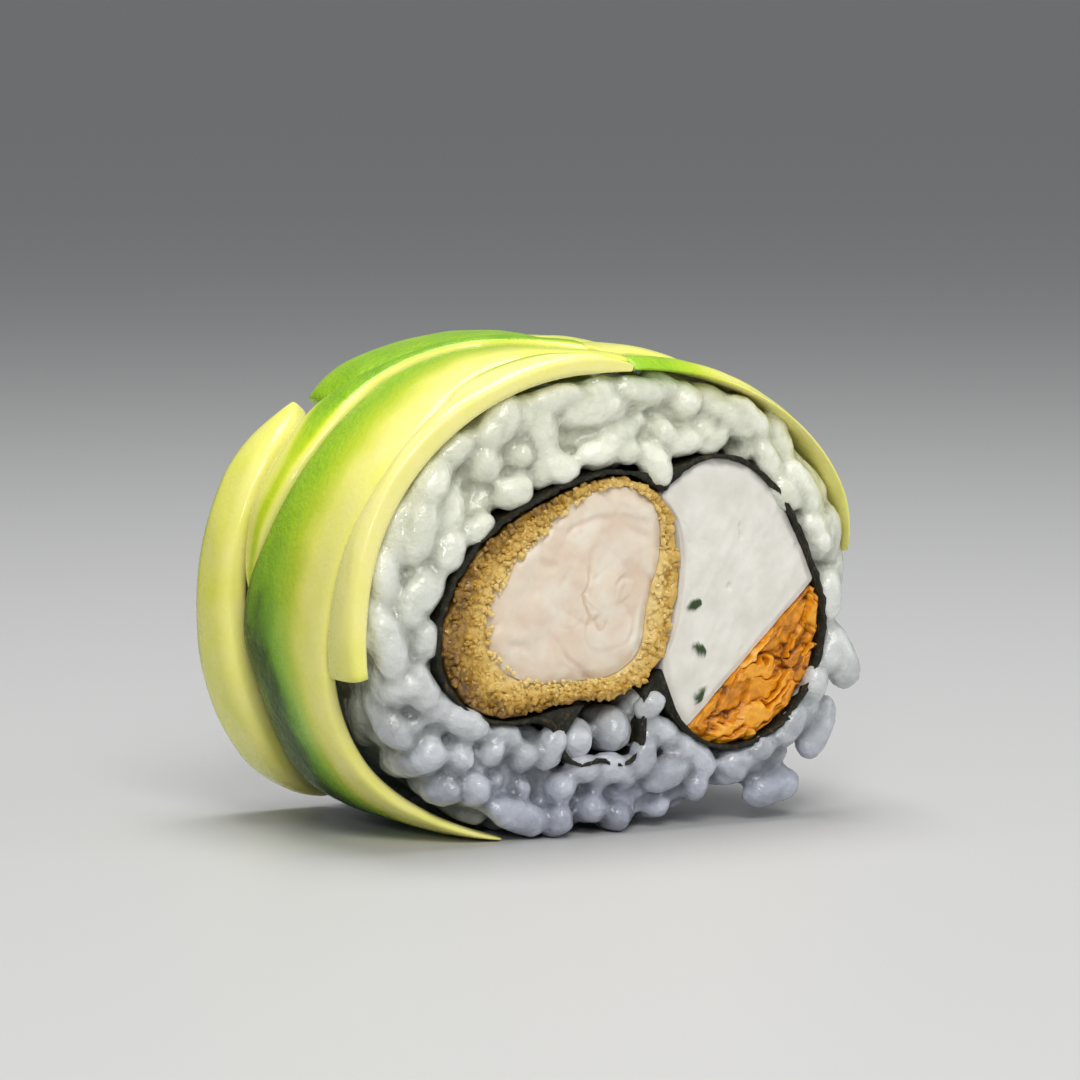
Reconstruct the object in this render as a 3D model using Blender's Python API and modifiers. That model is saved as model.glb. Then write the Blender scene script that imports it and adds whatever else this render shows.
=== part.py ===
"""One cut piece of uramaki: rice outside, a nori sheet round the filling, and avocado slices laid over the rice.

The roll's axis runs along Y. The cut face that shows the filling best looks along -Y, and the roll rests on z = 0.
Sizes are in metres. Angles go round the roll in the XZ plane, in degrees: 0 is +X, 90 the top, 180 is -X.
"""

import math
import random

import bmesh
import bpy
from mathutils import Matrix, Vector, noise

MM = 0.001

# The roll
ROLL_LENGTH = 29.0 * MM
RICE_HALF_WIDTH = 24.9 * MM
RICE_HALF_HEIGHT = 20.75 * MM
RICE_SQUARENESS = 2.25  # exponent of the superellipse: 2 is an ellipse, more is boxier
RICE_LEAN = 0.035  # how much fuller the upper right and lower left are
RICE_CENTRE_Z = 20.45 * MM  # a little under the half height, so that the underside is pressed flat
RICE_HOLLOW = 1.1 * MM  # how far the rice is pressed in at the upper right, under the thin front slice
CORE_INSET = 1.7 * MM  # the mass of rice lies this far inside the grains' outline
CORE_WALL = 1.1 * MM  # the least rice left round the nori
CORE_HALF_LENGTH = ROLL_LENGTH / 2 - 1.9 * MM
SOLE_HALF_X, SOLE_HALF_Y, SOLE_HEIGHT = 7.0 * MM, 8.0 * MM, 2.5 * MM

# Cooked grains
GRAIN_LENGTH = 6.9 * MM
GRAIN_WIDTH = 3.4 * MM
GRAIN_SPREAD = 0.14  # how much grains differ in size
GRAIN_PACKING = 0.76  # 1 keeps neighbouring grains from overlapping at all
FILL_PACKING = 0.56  # the same for the second layer, which lies deeper and fills the gaps on the cut faces
FILL_DEEPER = 0.8 * MM
FILL_WIDTH = 0.88
FACE_TRIES, BARREL_TRIES = 4000, 4000
# Grains that hang out of the outline at the right: both ends as (x, y, z) in millimetres, and the width
LOOSE_GRAINS = (
    ((22.3, -12.8, 17.6), (25.2, -13.0, 11.2), 3.4),
    ((20.2, -12.9, 5.2), (23.3, -12.6, 10.4), 3.4),
    ((13.5, -13.3, 1.9), (19.6, -13.0, 3.6), 3.2),
    ((18.6, -12.6, 7.2), (21.4, -12.5, 12.6), 3.4),
    ((12.4, -12.6, 4.2), (18.4, -12.4, 6.4), 3.4),
)
GRAIN_SEED = 5
RICE_VOXEL = 0.4 * MM  # how finely the grains run together
RICE_TRIANGLES = 7000

# The filling, each outline as its centre, its mean radius, and per order how far it swells and towards which angle
BATTER = ((-5.3 * MM, 21.0 * MM), 11.25 * MM, ((2, 1.72 * MM, 25), (3, 0.64 * MM, -45), (4, 0.51 * MM, 43)))
PRAWN = ((-4.0 * MM, 21.7 * MM), 8.45 * MM, ((2, 1.35 * MM, 45), (3, 0.80 * MM, -54), (4, 0.40 * MM, 41)))
SOFT_LOBE = ((12.1 * MM, 19.9 * MM), 10.3 * MM, ((2, 2.50 * MM, -80), (3, 0.80 * MM, -1)))
INNER_RICE = ((-2.0 * MM, 8.45 * MM), 2.65 * MM, ((2, 1.25 * MM, -5),))
SALMON_LINE = ((21.2 * MM, 22.2 * MM), (8.0 * MM, 9.7 * MM))  # the plane between cream cheese and salmon
FILLING_HALF_LENGTH = 14.2 * MM
GAP = 0.3 * MM  # touching pieces keep this gap
FLAKE_TURN = math.radians(32)  # how steeply the salmon's flakes rise on the cut end
FLAKE_SEED = 5
CRAG_DEPTH = 0.9 * MM
CRAG_SIZE = 2.6 * MM

# The nori
NORI_THICKNESS = 0.4 * MM
NORI_SLACK = 0.3 * MM  # between the filling and the nori
NORI_BRIDGE = 4.5 * MM  # how softly the outside bridges the dips between the pieces
NORI_TUCK = 1.0 * MM  # the same for the inside, which is tucked further into the dips
NORI_CENTRE = (2.5 * MM, 19.0 * MM)
NORI_POINTS, NORI_INSIDE_POINTS = 60, 96
NORI_SEARCH = 0.2 * MM  # step of the search inwards for the filling

# The avocado slices: seams in millimetres, as (angle round the roll, y)
FRONT, BACK = -14.7, 14.7
FRONT_RIM = ((0, FRONT), (360, FRONT))
BACK_RIM = ((0, BACK), (360, BACK))
SEAM_1_2 = (
    (86, -14.3), (95, -13.1), (105, -9.9), (114, -8.6), (125, -9.6), (134, -11.4), (149, -12.2), (157, -11.8),
    (166, -10.9), (176, -10.1), (190, -9.0), (207, -8.5), (216, -9.0), (226, -11.4), (234, -13.6), (242, -14.6),
)
SLICE_2_BACK = (
    (86, -6.0), (92, -3.2), (100, 1.2), (108, 2.8), (126, 3.4), (141, 2.4), (156, 2.6), (169, 4.2), (177, 5.9),
    (187, 6.6), (196, 5.1), (207, 5.2), (219, 7.0), (230, 7.0), (242, 2.0),
)
SEAM_3_4 = (
    (84, 3.4), (99, 5.2), (110, 6.2), (118, 6.5), (129, 7.6), (138, 8.6), (146, 8.2), (161, 7.7), (180, 7.9),
)
SLICE_5_FRONT = (
    (136, 13.4), (141, 10.6), (147, 9.0), (161, 8.2), (177, 8.2), (184, 7.9), (191, 7.3), (200, 6.7), (209, 7.0),
    (219, 8.5), (232, 11.2),
)
SEAM_6_7 = ((-16, -6.5), (20, -4.6), (60, -5.4), (82, -8.0))
SEAM_7_8 = ((-16, 4.4), (20, 6.2), (60, 4.2), (84, 2.2))
SEAM_GAP = 0.4 * MM
# Each slice: front seam, back seam, first and last angle, thickness, then at both ends the share of the
# thickness and the share of the width that is left
SLICES = {
    "avocado_slice_1": (FRONT_RIM, SEAM_1_2, 87.3, 191, 2.3, (0.35, 0.85), (1.0, 1.0)),
    "avocado_slice_2": (SEAM_1_2, SLICE_2_BACK, 87.5, 241, 2.5, (0.60, 0.22), (1.0, 0.8)),
    "avocado_slice_3": (SLICE_2_BACK, SEAM_3_4, 85.5, 179, 2.6, (0.80, 0.30), (1.0, 0.7)),
    "avocado_slice_4": (SEAM_3_4, BACK_RIM, 80, 134, 2.3, (0.80, 0.60), (1.0, 0.75)),
    "avocado_slice_5": (SLICE_5_FRONT, BACK_RIM, 137, 231, 3.1, (0.55, 0.35), (0.7, 0.6)),
    "avocado_slice_6": (FRONT_RIM, SEAM_6_7, 8, 86.2, 1.3, (0.40, 0.90), (0.7, 1.0)),
    "avocado_slice_7": (SEAM_6_7, SEAM_7_8, -14, 84.6, 2.1, (0.35, 0.80), (0.6, 1.0)),
    "avocado_slice_8": (SEAM_7_8, BACK_RIM, -6, 79.0, 2.3, (0.35, 0.80), (0.6, 1.0)),
}
AVOCADO_CLEARANCE = 0.25 * MM
SLICE_STEP = 6.5  # degrees between cross-sections
SLICE_TAPER = 0.22  # share of a slice's length that each end takes to thin out
SLICE_SECTION_POINTS = 10
SLICE_EDGE = 3.2  # exponent of a slice's rounded cross-section
FLOOR_CLEARANCE = 0.05 * MM

# Sides of the round outlines
BATTER_SIDES, PRAWN_SIDES, LOBE_SIDES, RICE_SIDES = 36, 28, 44, 60

COLOURS = {
    "rice": ((0.78, 0.79, 0.76), 0.35),
    "nori": ((0.03, 0.035, 0.02), 0.55),
    "batter": ((0.66, 0.42, 0.16), 0.5),
    "prawn": ((0.83, 0.74, 0.66), 0.35),
    "cream_cheese": ((0.88, 0.86, 0.81), 0.5),
    "salmon": ((0.83, 0.40, 0.12), 0.5),
    "avocado": ((0.66, 0.74, 0.24), 0.35),
}


def clear_scene():
    for scene_object in list(bpy.data.objects):
        bpy.data.objects.remove(scene_object, do_unlink=True)


def make_collection(name):
    made = bpy.data.collections.new(name)
    bpy.context.scene.collection.children.link(made)
    return made


def make_material(name):
    colour, roughness = COLOURS[name]
    material = bpy.data.materials.new(name)
    material.use_nodes = True
    shader = material.node_tree.nodes["Principled BSDF"]
    shader.inputs["Base Color"].default_value = (*colour, 1.0)
    shader.inputs["Roughness"].default_value = roughness
    shader.inputs["Metallic"].default_value = 0.0
    return material


def place(mesh, name, collection, material=None):
    """Links a mesh as a named object with its material."""
    made = bpy.data.objects.new(name, mesh)
    collection.objects.link(made)
    if material:
        mesh.materials.clear()
        mesh.materials.append(material)
    return made


def rice_radius(angle, inset=0.0):
    """Distance from the roll's axis to the outline of the rice, at an angle in radians."""
    c, s = abs(math.cos(angle)), abs(math.sin(angle))
    power = RICE_SQUARENESS
    plain = ((c / RICE_HALF_WIDTH) ** power + (s / RICE_HALF_HEIGHT) ** power) ** (-1 / power)
    hollow = RICE_HOLLOW * max(math.cos(angle - math.pi / 4), 0) ** 4
    return plain * (1 + RICE_LEAN * math.cos(2 * (angle - math.pi / 4))) - hollow - inset


def on_roll(angle, radius, y):
    """The point at an angle in radians and a distance from the roll's axis."""
    return Vector((radius * math.cos(angle), y, RICE_CENTRE_Z + radius * math.sin(angle)))


def shape_radius(shape, angle):
    """Radius of a filling outline at an angle in radians."""
    mean, swells = shape[1], shape[2]
    return mean + sum(size * math.cos(order * (angle - math.radians(towards))) for order, size, towards in swells)


def shape_outline(shape, sides, grow=0.0, scale=1.0):
    """Points (x, z) round a filling outline."""
    points = []
    for step in range(sides):
        angle = 2 * math.pi * step / sides
        radius = shape_radius(shape, angle) * scale + grow
        points.append((shape[0][0] + radius * math.cos(angle), shape[0][1] + radius * math.sin(angle)))
    return points


def shape_distance(shape, x, z):
    """About how far a point is outside a filling outline, negative inside."""
    dx, dz = x - shape[0][0], z - shape[0][1]
    return math.hypot(dx, dz) - shape_radius(shape, math.atan2(dz, dx))


def soft_minimum(a, b, width):
    share = max(width - abs(a - b), 0.0) / width
    return min(a, b) - share * share * width / 4


def filling_distance(x, z, bridge=NORI_BRIDGE):
    """About how far a point is outside the whole filling, bridged softly between its pieces."""
    first = soft_minimum(shape_distance(BATTER, x, z), shape_distance(SOFT_LOBE, x, z), bridge)
    return soft_minimum(first, shape_distance(INNER_RICE, x, z), bridge)


def nori_outline(grow, bridge=NORI_BRIDGE, count=NORI_POINTS):
    """Points (x, z) round the filling at a distance from it, found along rays towards its middle."""
    points = []
    for step in range(count):
        angle = 2 * math.pi * step / count
        way = Vector((math.cos(angle), math.sin(angle)))
        middle = Vector(NORI_CENTRE)
        outside = RICE_HALF_WIDTH
        while outside > 0 and filling_distance(*(middle + way * (outside - NORI_SEARCH)), bridge) > grow:
            outside -= NORI_SEARCH
        inside = outside - NORI_SEARCH
        for _ in range(12):
            between = (inside + outside) / 2
            if filling_distance(*(middle + way * between), bridge) < grow:
                inside = between
            else:
                outside = between
        points.append(tuple(middle + way * inside))
    return points


def extrude_outlines(outlines, half_length, name):
    """A mesh from flat outlines in XZ, extruded both ways along Y. A second outline is a hole."""
    curve = bpy.data.curves.new(name, "CURVE")
    curve.dimensions = "2D"
    curve.fill_mode = "BOTH"
    curve.extrude = half_length
    for outline in outlines:
        spline = curve.splines.new("POLY")
        spline.points.add(len(outline) - 1)
        for point, (x, z) in zip(spline.points, outline):
            point.co = (x, z, 0, 1)
        spline.use_cyclic_u = True
    holder = bpy.data.objects.new(name + "_curve", curve)
    bpy.context.scene.collection.objects.link(holder)
    bpy.context.view_layer.update()
    evaluated = holder.evaluated_get(bpy.context.evaluated_depsgraph_get())
    mesh = bpy.data.meshes.new_from_object(evaluated)
    bpy.data.objects.remove(holder, do_unlink=True)
    # The curve lies in XY and is extruded along Z: a quarter turn about X stands it up.
    mesh.transform(Matrix.Rotation(math.pi / 2, 4, "X"))
    made = bmesh.new()
    made.from_mesh(mesh)
    bmesh.ops.remove_doubles(made, verts=made.verts, dist=0.001 * MM)
    bmesh.ops.recalc_face_normals(made, faces=made.faces)
    made.to_mesh(mesh)
    made.free()
    return mesh


def loft(sections, name, ring=False):
    """A mesh through closed sections of equal length. A ring joins the last section to the first."""
    made = bmesh.new()
    rows = [[made.verts.new(point) for point in section] for section in sections]
    pairs = list(zip(rows, rows[1:] + rows[:1])) if ring else list(zip(rows, rows[1:]))
    for row, following in pairs:
        for step in range(len(row)):
            after = (step + 1) % len(row)
            made.faces.new((row[step], row[after], following[after], following[step]))
    if not ring:
        made.faces.new(rows[0])
        made.faces.new(rows[-1])
    bmesh.ops.triangulate(made, faces=made.faces)
    bmesh.ops.recalc_face_normals(made, faces=made.faces)
    mesh = bpy.data.meshes.new(name)
    made.to_mesh(mesh)
    made.free()
    return mesh


def crag(x, y, z, seed):
    """A smooth seeded unevenness from -1 to 1 at a point."""
    return noise.noise(Vector((x, y, z)) / CRAG_SIZE + Vector((seed, 0, 0)))


def apply_boolean(target, operation, cutter=None, collection=None, solver="EXACT"):
    """Applies one Boolean to the target's mesh and removes what it used up."""
    modifier = target.modifiers.new("boolean", "BOOLEAN")
    modifier.operation = operation
    modifier.solver = solver
    if collection:
        modifier.operand_type = "COLLECTION"
        modifier.collection = collection
    else:
        modifier.object = cutter
    bpy.context.view_layer.update()
    evaluated = target.evaluated_get(bpy.context.evaluated_depsgraph_get())
    mesh = bpy.data.meshes.new_from_object(evaluated)
    target.modifiers.clear()
    target.data = mesh
    for used in list(collection.objects) if collection else [cutter]:
        bpy.data.objects.remove(used, do_unlink=True)


def melt_together(target, voxel, triangles):
    """Runs the joined grains into one skin, and brings it down to so many triangles."""
    melt = target.modifiers.new("melt", "REMESH")
    melt.mode = "VOXEL"
    melt.voxel_size = voxel
    bpy.context.view_layer.update()
    evaluated = target.evaluated_get(bpy.context.evaluated_depsgraph_get())
    dense = sum(len(polygon.vertices) - 2 for polygon in evaluated.data.polygons)
    fewer = target.modifiers.new("fewer", "DECIMATE")
    fewer.ratio = triangles / dense
    bpy.context.view_layer.update()
    evaluated = target.evaluated_get(bpy.context.evaluated_depsgraph_get())
    mesh = bpy.data.meshes.new_from_object(evaluated)
    target.modifiers.clear()
    target.data = mesh


def keep_largest_body(target):
    """Drops loose scraps and sealed hollows."""
    made = bmesh.new()
    made.from_mesh(target.data)
    unseen, bodies = set(made.verts), []
    while unseen:
        front, body = [unseen.pop()], set()
        while front:
            vert = front.pop()
            body.add(vert)
            for edge in vert.link_edges:
                other = edge.other_vert(vert)
                if other in unseen:
                    unseen.discard(other)
                    front.append(other)
        bodies.append(body)
    bodies.sort(key=len)
    for body in bodies[:-1]:
        bmesh.ops.delete(made, geom=list(body), context="VERTS")
    made.to_mesh(target.data)
    made.free()


def grain_mesh():
    """A plump low grain of unit size, its long axis along Z."""
    made = bmesh.new()
    bmesh.ops.create_uvsphere(made, u_segments=6, v_segments=4, radius=0.5)
    for vert in made.verts:
        # The rings between the middle and the ends move outwards, which makes the grain a capsule.
        if 0.2 < abs(vert.co.z) < 0.45:
            vert.co.x *= 1.22
            vert.co.y *= 1.22
            vert.co.z *= 0.88
    mesh = bpy.data.meshes.new("grain")
    made.to_mesh(mesh)
    made.free()
    return mesh


def fits(circles, taken, packing=GRAIN_PACKING):
    """True if a grain's three circles keep clear of the grains already laid."""
    for x, z, radius in circles:
        for other_x, other_z, other_radius in taken:
            reach = packing * (radius + other_radius)
            if (x - other_x) ** 2 + (z - other_z) ** 2 < reach * reach:
                return False
    return True


def footprint(u, v, turn, length, width):
    """Three circles along a lying grain."""
    offset = (length - width) / 2
    return [
        (u + shift * offset * math.cos(turn), v + shift * offset * math.sin(turn), width / 2) for shift in (-1, 0, 1)
    ]


def face_grains(side, draw, taken, fill=False):
    """Grains on one cut face: they follow the ring at the sides and stand end-on underneath."""
    laid = []
    packing, deeper, close = (FILL_PACKING, FILL_DEEPER, 0.3) if fill else (GRAIN_PACKING, 0.0, 0.55)
    for _ in range(FACE_TRIES):
        x = draw.uniform(-RICE_HALF_WIDTH, RICE_HALF_WIDTH)
        z = draw.uniform(0, 2 * RICE_HALF_HEIGHT)
        size = 1 + draw.uniform(-GRAIN_SPREAD, GRAIN_SPREAD)
        angle = math.atan2(z - RICE_CENTRE_Z, x)
        end_on = draw.random() < (0.75 if math.sin(angle) < -0.45 else 0.15)
        turn = angle + math.pi / 2 + draw.gauss(0, 0.45)
        proud = draw.uniform(-0.4, 0.35) * MM
        proud -= deeper
        width = GRAIN_WIDTH * size * (FILL_WIDTH if fill else 1.0)
        length = width * 1.15 if end_on else GRAIN_LENGTH * size
        circles = footprint(x, z, turn, length, width)
        in_ring = all(
            math.hypot(cx, cz - RICE_CENTRE_Z) + radius <= rice_radius(math.atan2(cz - RICE_CENTRE_Z, cx), 0.1 * MM)
            and filling_distance(cx, cz) > radius * close + NORI_SLACK + NORI_THICKNESS
            for cx, cz, radius in circles
        )
        if not in_ring or not fits(circles, taken, packing):
            continue
        taken += circles
        depth = side * (ROLL_LENGTH / 2 + proud - width / 2)
        if end_on:
            depth = side * (ROLL_LENGTH / 2 + proud - GRAIN_LENGTH * size / 2)
            along = Vector((draw.uniform(-0.2, 0.2), 1, draw.uniform(-0.2, 0.2)))
        else:
            along = Vector((math.cos(turn), draw.uniform(-0.12, 0.12), math.sin(turn)))
        laid.append((Vector((x, depth, z)), along, GRAIN_LENGTH * size, width))
    return laid


def under_avocado(angle, y, margin):
    """True if a slice lies over this place on the roll, the angle in degrees from 0 to 360."""
    for front, back, first, last, *_ in SLICES.values():
        for turn in (angle, angle - 360):
            if first - margin < turn < last + margin:
                if seam_y(front, turn) - margin * MM / 3 < y < seam_y(back, turn) + margin * MM / 3:
                    return True
    return False


def barrel_grains(draw):
    """Grains lying along the outside of the roll, wherever no avocado hides them."""
    taken, laid = [], []
    half = ROLL_LENGTH / 2 - GRAIN_WIDTH
    for _ in range(BARREL_TRIES):
        degrees = draw.uniform(180, 380)
        y = draw.uniform(-half, half)
        turn = draw.gauss(math.pi / 2, 0.8)
        size = 1 + draw.uniform(-GRAIN_SPREAD, GRAIN_SPREAD)
        angle = math.radians(degrees)
        length, width = GRAIN_LENGTH * size, GRAIN_WIDTH * size
        if under_avocado(degrees % 360, y, -12.0):
            continue
        arc = angle * (RICE_HALF_WIDTH + RICE_HALF_HEIGHT) / 2
        circles = footprint(arc, y, turn, length, width)
        if not fits(circles, taken):
            continue
        taken += circles
        radius = rice_radius(angle, width / 2 + 0.05 * MM)
        around = Vector((-math.sin(angle), 0, math.cos(angle)))
        along = around * math.cos(turn) + Vector((0, math.sin(turn), 0))
        # A grain laid round the roll sinks a little, so that its ends don't stand out of the outline.
        sink = (length / 2) ** 2 / (2 * radius) * math.cos(turn) ** 2
        laid.append((on_roll(angle, radius - sink, y), along, length, width))
    return laid


def loose_grains():
    """The grains placed by hand."""
    laid = []
    for start, end, width in LOOSE_GRAINS:
        first, last = Vector(start) * MM, Vector(end) * MM
        laid.append(((first + last) / 2, last - first, (last - first).length, width * MM))
    return laid


def add_grains(laid, collection):
    mesh = grain_mesh()
    for number, (centre, along, length, width) in enumerate(laid):
        grain = bpy.data.objects.new(f"grain_{number}", mesh)
        collection.objects.link(grain)
        grain.rotation_mode = "QUATERNION"
        grain.rotation_quaternion = along.to_track_quat("Z", "Y")
        grain.location = centre
        grain.scale = (width, width, length)


def make_rice(collection, cutters, material):
    """The ring of rice: a core with the grains that show fused on, pressed flat underneath."""
    hole_grow = NORI_SLACK + NORI_THICKNESS + GAP + 0.1 * MM
    core_outline = []
    for step in range(RICE_SIDES):
        angle = 2 * math.pi * step / RICE_SIDES
        # Under the avocado no grain shows, so the core comes nearly up to the slices there.
        inset = CORE_INSET * (0.15 if 12 < math.degrees(angle) < 184 else 1.0)
        spot = on_roll(angle, rice_radius(angle, inset), 0)
        while inset > 0 and filling_distance(spot.x, spot.z) < hole_grow + CORE_WALL:
            inset -= 0.1 * MM
            spot = on_roll(angle, rice_radius(angle, inset), 0)
        core_outline.append((spot.x, spot.z))
    hole = nori_outline(hole_grow)
    rice = place(extrude_outlines([core_outline, hole], CORE_HALF_LENGTH, "rice"), "rice", collection, material)

    draw = random.Random(GRAIN_SEED)
    grains = make_collection("grains")
    front, back = [], []
    laid = face_grains(-1, draw, front) + face_grains(1, draw, back) + barrel_grains(draw) + loose_grains()
    laid += face_grains(-1, draw, front, fill=True) + face_grains(1, draw, back, fill=True)
    add_grains(laid, grains)
    sole_mesh = bpy.data.meshes.new("sole")
    sole = bmesh.new()
    bmesh.ops.create_cube(sole, size=1.0)
    bmesh.ops.scale(sole, vec=(2 * SOLE_HALF_X, 2 * SOLE_HALF_Y, 2 * SOLE_HEIGHT), verts=sole.verts)
    sole.to_mesh(sole_mesh)
    sole.free()
    place(sole_mesh, "sole", grains)
    # The manifold solver, because the exact one leaves open edges among so many grains.
    apply_boolean(rice, "UNION", collection=grains, solver="MANIFOLD")
    bpy.data.collections.remove(grains)

    bore = place(extrude_outlines([hole], ROLL_LENGTH, "bore"), "bore", cutters)
    apply_boolean(rice, "DIFFERENCE", cutter=bore, solver="MANIFOLD")
    melt_together(rice, RICE_VOXEL, RICE_TRIANGLES)
    under = bpy.data.meshes.new("under_floor")
    box = bmesh.new()
    bmesh.ops.create_cube(box, size=1.0)
    bmesh.ops.scale(box, vec=(4 * RICE_HALF_WIDTH, 2 * ROLL_LENGTH, 20 * MM), verts=box.verts)
    bmesh.ops.translate(box, vec=(0, 0, -10 * MM), verts=box.verts)
    box.to_mesh(under)
    box.free()
    apply_boolean(rice, "DIFFERENCE", cutter=place(under, "under_floor", cutters), solver="MANIFOLD")
    keep_largest_body(rice)


def make_nori(collection, material):
    """The sheet round the filling, a thin closed band as long as the roll."""
    inner = nori_outline(NORI_SLACK, NORI_TUCK, NORI_INSIDE_POINTS)
    outer = nori_outline(NORI_SLACK + NORI_THICKNESS)
    mesh = extrude_outlines([outer, inner], FILLING_HALF_LENGTH, "nori")
    place(mesh, "nori_sheet", collection, material)


def make_inner_rice(collection, material):
    """The few grains caught between the batter and the nori, as one strand through the roll."""
    ends = ((-14.6, 0.45), (-14.0, 0.85), (-12.4, 1.0))
    stations = [(y * MM, scale) for y, scale in ends]
    stations += [(0.0, 0.92)]
    stations += [(-y * MM, scale) for y, scale in reversed(ends)]
    sections = []
    for y, scale in stations:
        outline = shape_outline(INNER_RICE, 16, scale=scale)
        sections.append([Vector((x, y, z)) for x, z in outline])
    place(loft(sections, "inner_rice"), "inner_rice", collection, material)


def make_batter(collection, material):
    """The fried batter round the prawn: craggy outside and on its cut ends."""
    depth = FILLING_HALF_LENGTH
    stations = [depth * (-1 + 2 * step / 7) for step in range(8)]

    def outer(y, seed):
        points = []
        for x, z in shape_outline(BATTER, BATTER_SIDES):
            inward = CRAG_DEPTH * (0.5 + 0.5 * crag(x, y, z, seed))
            middle = Vector((BATTER[0][0], BATTER[0][1]))
            spot = Vector((x, z)) - (Vector((x, z)) - middle).normalized() * inward
            points.append(Vector((spot.x, y, spot.y)))
        return points

    def end_ring(share, side):
        """A ring on the cut end, between the outer edge at 0 and the prawn at 1."""
        edge = outer(side * depth, 3)
        bore = shape_outline(PRAWN, BATTER_SIDES, grow=GAP)
        points = []
        for rim, (x, z) in zip(edge, bore):
            spot = rim.lerp(Vector((x, side * depth, z)), share)
            spot.y += side * (0.1 * MM + 0.7 * MM * crag(spot.x * 1.7, spot.y, spot.z * 1.7, 8))
            points.append(spot)
        return points

    bore = shape_outline(PRAWN, BATTER_SIDES, grow=GAP)
    sections = [outer(y, 3) for y in stations]
    sections += [end_ring(share, 1) for share in (0.3, 0.7)]
    sections += [[Vector((x, side * depth, z)) for x, z in bore] for side in (1, -1)]
    sections += [end_ring(share, -1) for share in (0.7, 0.3)]
    place(loft(sections, "batter", ring=True), "tempura_batter", collection, material)


def make_prawn(collection, material):
    """The white meat inside the batter, its cut ends gently domed and creased."""
    depth = FILLING_HALF_LENGTH
    ends = ((0.30, 0.35), (0.62, 0.20), (0.88, 0.05), (1.0, -0.35))

    def section(scale, y, relief):
        points = []
        for x, z in shape_outline(PRAWN, PRAWN_SIDES, scale=scale):
            points.append(Vector((x, y + relief * 0.5 * MM * crag(x * 0.6, 0, z * 0.6, 21), z)))
        return points

    sections = [section(scale, -(depth + rise * MM), 1) for scale, rise in ends]
    sections += [section(1.0, y * MM, 0) for y in (-6, 6)]
    sections += [section(scale, depth + rise * MM, 1) for scale, rise in reversed(ends)]
    place(loft(sections, "prawn"), "tempura_prawn", collection, material)


def salmon_side(offset):
    """A block on the salmon's side of its plane, moved by an offset away from the cream cheese."""
    (x1, z1), (x2, z2) = SALMON_LINE
    along = Vector((x1 - x2, z1 - z2)).normalized()
    away = Vector((along.y, -along.x))
    size = 60 * MM
    start = Vector((x2, z2)) + away * offset
    corners = [
        start - along * size,
        start + along * size,
        start + along * size + away * size,
        start - along * size + away * size,
    ]
    return extrude_outlines([[tuple(corner) for corner in corners]], ROLL_LENGTH, "salmon_side")


def make_cream_cheese(collection, cutters, material):
    """The wedge of cream cheese: the right lobe less the batter and the salmon, with flecks of chive pressed in."""
    outline = shape_outline(SOFT_LOBE, LOBE_SIDES)
    cheese = place(
        extrude_outlines([outline], FILLING_HALF_LENGTH, "cream_cheese"), "cream_cheese", collection, material
    )
    flecks = make_collection("chive_flecks")
    for side in (-1, 1):
        for x, z, turn in ((7.7, 20.1, 20), (8.2, 16.0, -35), (8.3, 11.8, 60), (12.0, 27.0, 15)):
            made = bmesh.new()
            bmesh.ops.create_cube(made, size=1.0)
            bmesh.ops.scale(made, vec=(1.5 * MM, 0.9 * MM, 1.0 * MM), verts=made.verts)
            mesh = bpy.data.meshes.new("fleck")
            made.to_mesh(mesh)
            made.free()
            fleck = place(mesh, "fleck", flecks)
            fleck.location = (x * MM, side * FILLING_HALF_LENGTH, z * MM)
            fleck.rotation_euler = (0, math.radians(turn), 0)
    apply_boolean(cheese, "UNION", collection=flecks)
    bpy.data.collections.remove(flecks)
    around_batter = extrude_outlines([shape_outline(BATTER, LOBE_SIDES, grow=GAP)], ROLL_LENGTH, "around_batter")
    apply_boolean(cheese, "DIFFERENCE", cutter=place(around_batter, "around_batter", cutters))
    apply_boolean(cheese, "DIFFERENCE", cutter=place(salmon_side(-GAP / 2), "salmon_side", cutters))
    keep_largest_body(cheese)


def salmon_flakes(collection):
    """Flat flakes that overlap on both cut ends of the salmon, in rows that rise towards the right."""
    (x1, z1), (x2, z2) = SALMON_LINE
    along = Vector((x1 - x2, z1 - z2)).normalized()
    away = Vector((along.y, -along.x))
    draw = random.Random(FLAKE_SEED)
    mesh = grain_mesh()
    for side in (-1, 1):
        for row in range(4):
            for rank in range(3):
                reach = (2.6 + 3.7 * row + draw.uniform(-0.5, 0.5)) * MM
                off = (1.0 + 2.7 * rank + draw.uniform(-0.4, 0.4)) * MM
                spot = Vector((x2, z2)) + along * reach + away * off
                if shape_distance(SOFT_LOBE, spot.x, spot.y) > -0.9 * MM:
                    continue
                size = draw.uniform(0.85, 1.2)
                flake = bpy.data.objects.new("flake", mesh)
                collection.objects.link(flake)
                proud = draw.uniform(0.0, 0.55) * MM
                flake.location = (spot.x, side * (FILLING_HALF_LENGTH - 0.75 * MM + proud), spot.y)
                way = Vector((math.cos(FLAKE_TURN), 0.25 * side, math.sin(FLAKE_TURN)))
                way += Vector((draw.uniform(-0.3, 0.3), draw.uniform(-0.15, 0.15), draw.uniform(-0.3, 0.3)))
                flake.rotation_mode = "QUATERNION"
                flake.rotation_quaternion = way.to_track_quat("Z", "Y")
                flake.scale = Vector((2.7, 2.7, 4.8)) * MM * size


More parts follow.
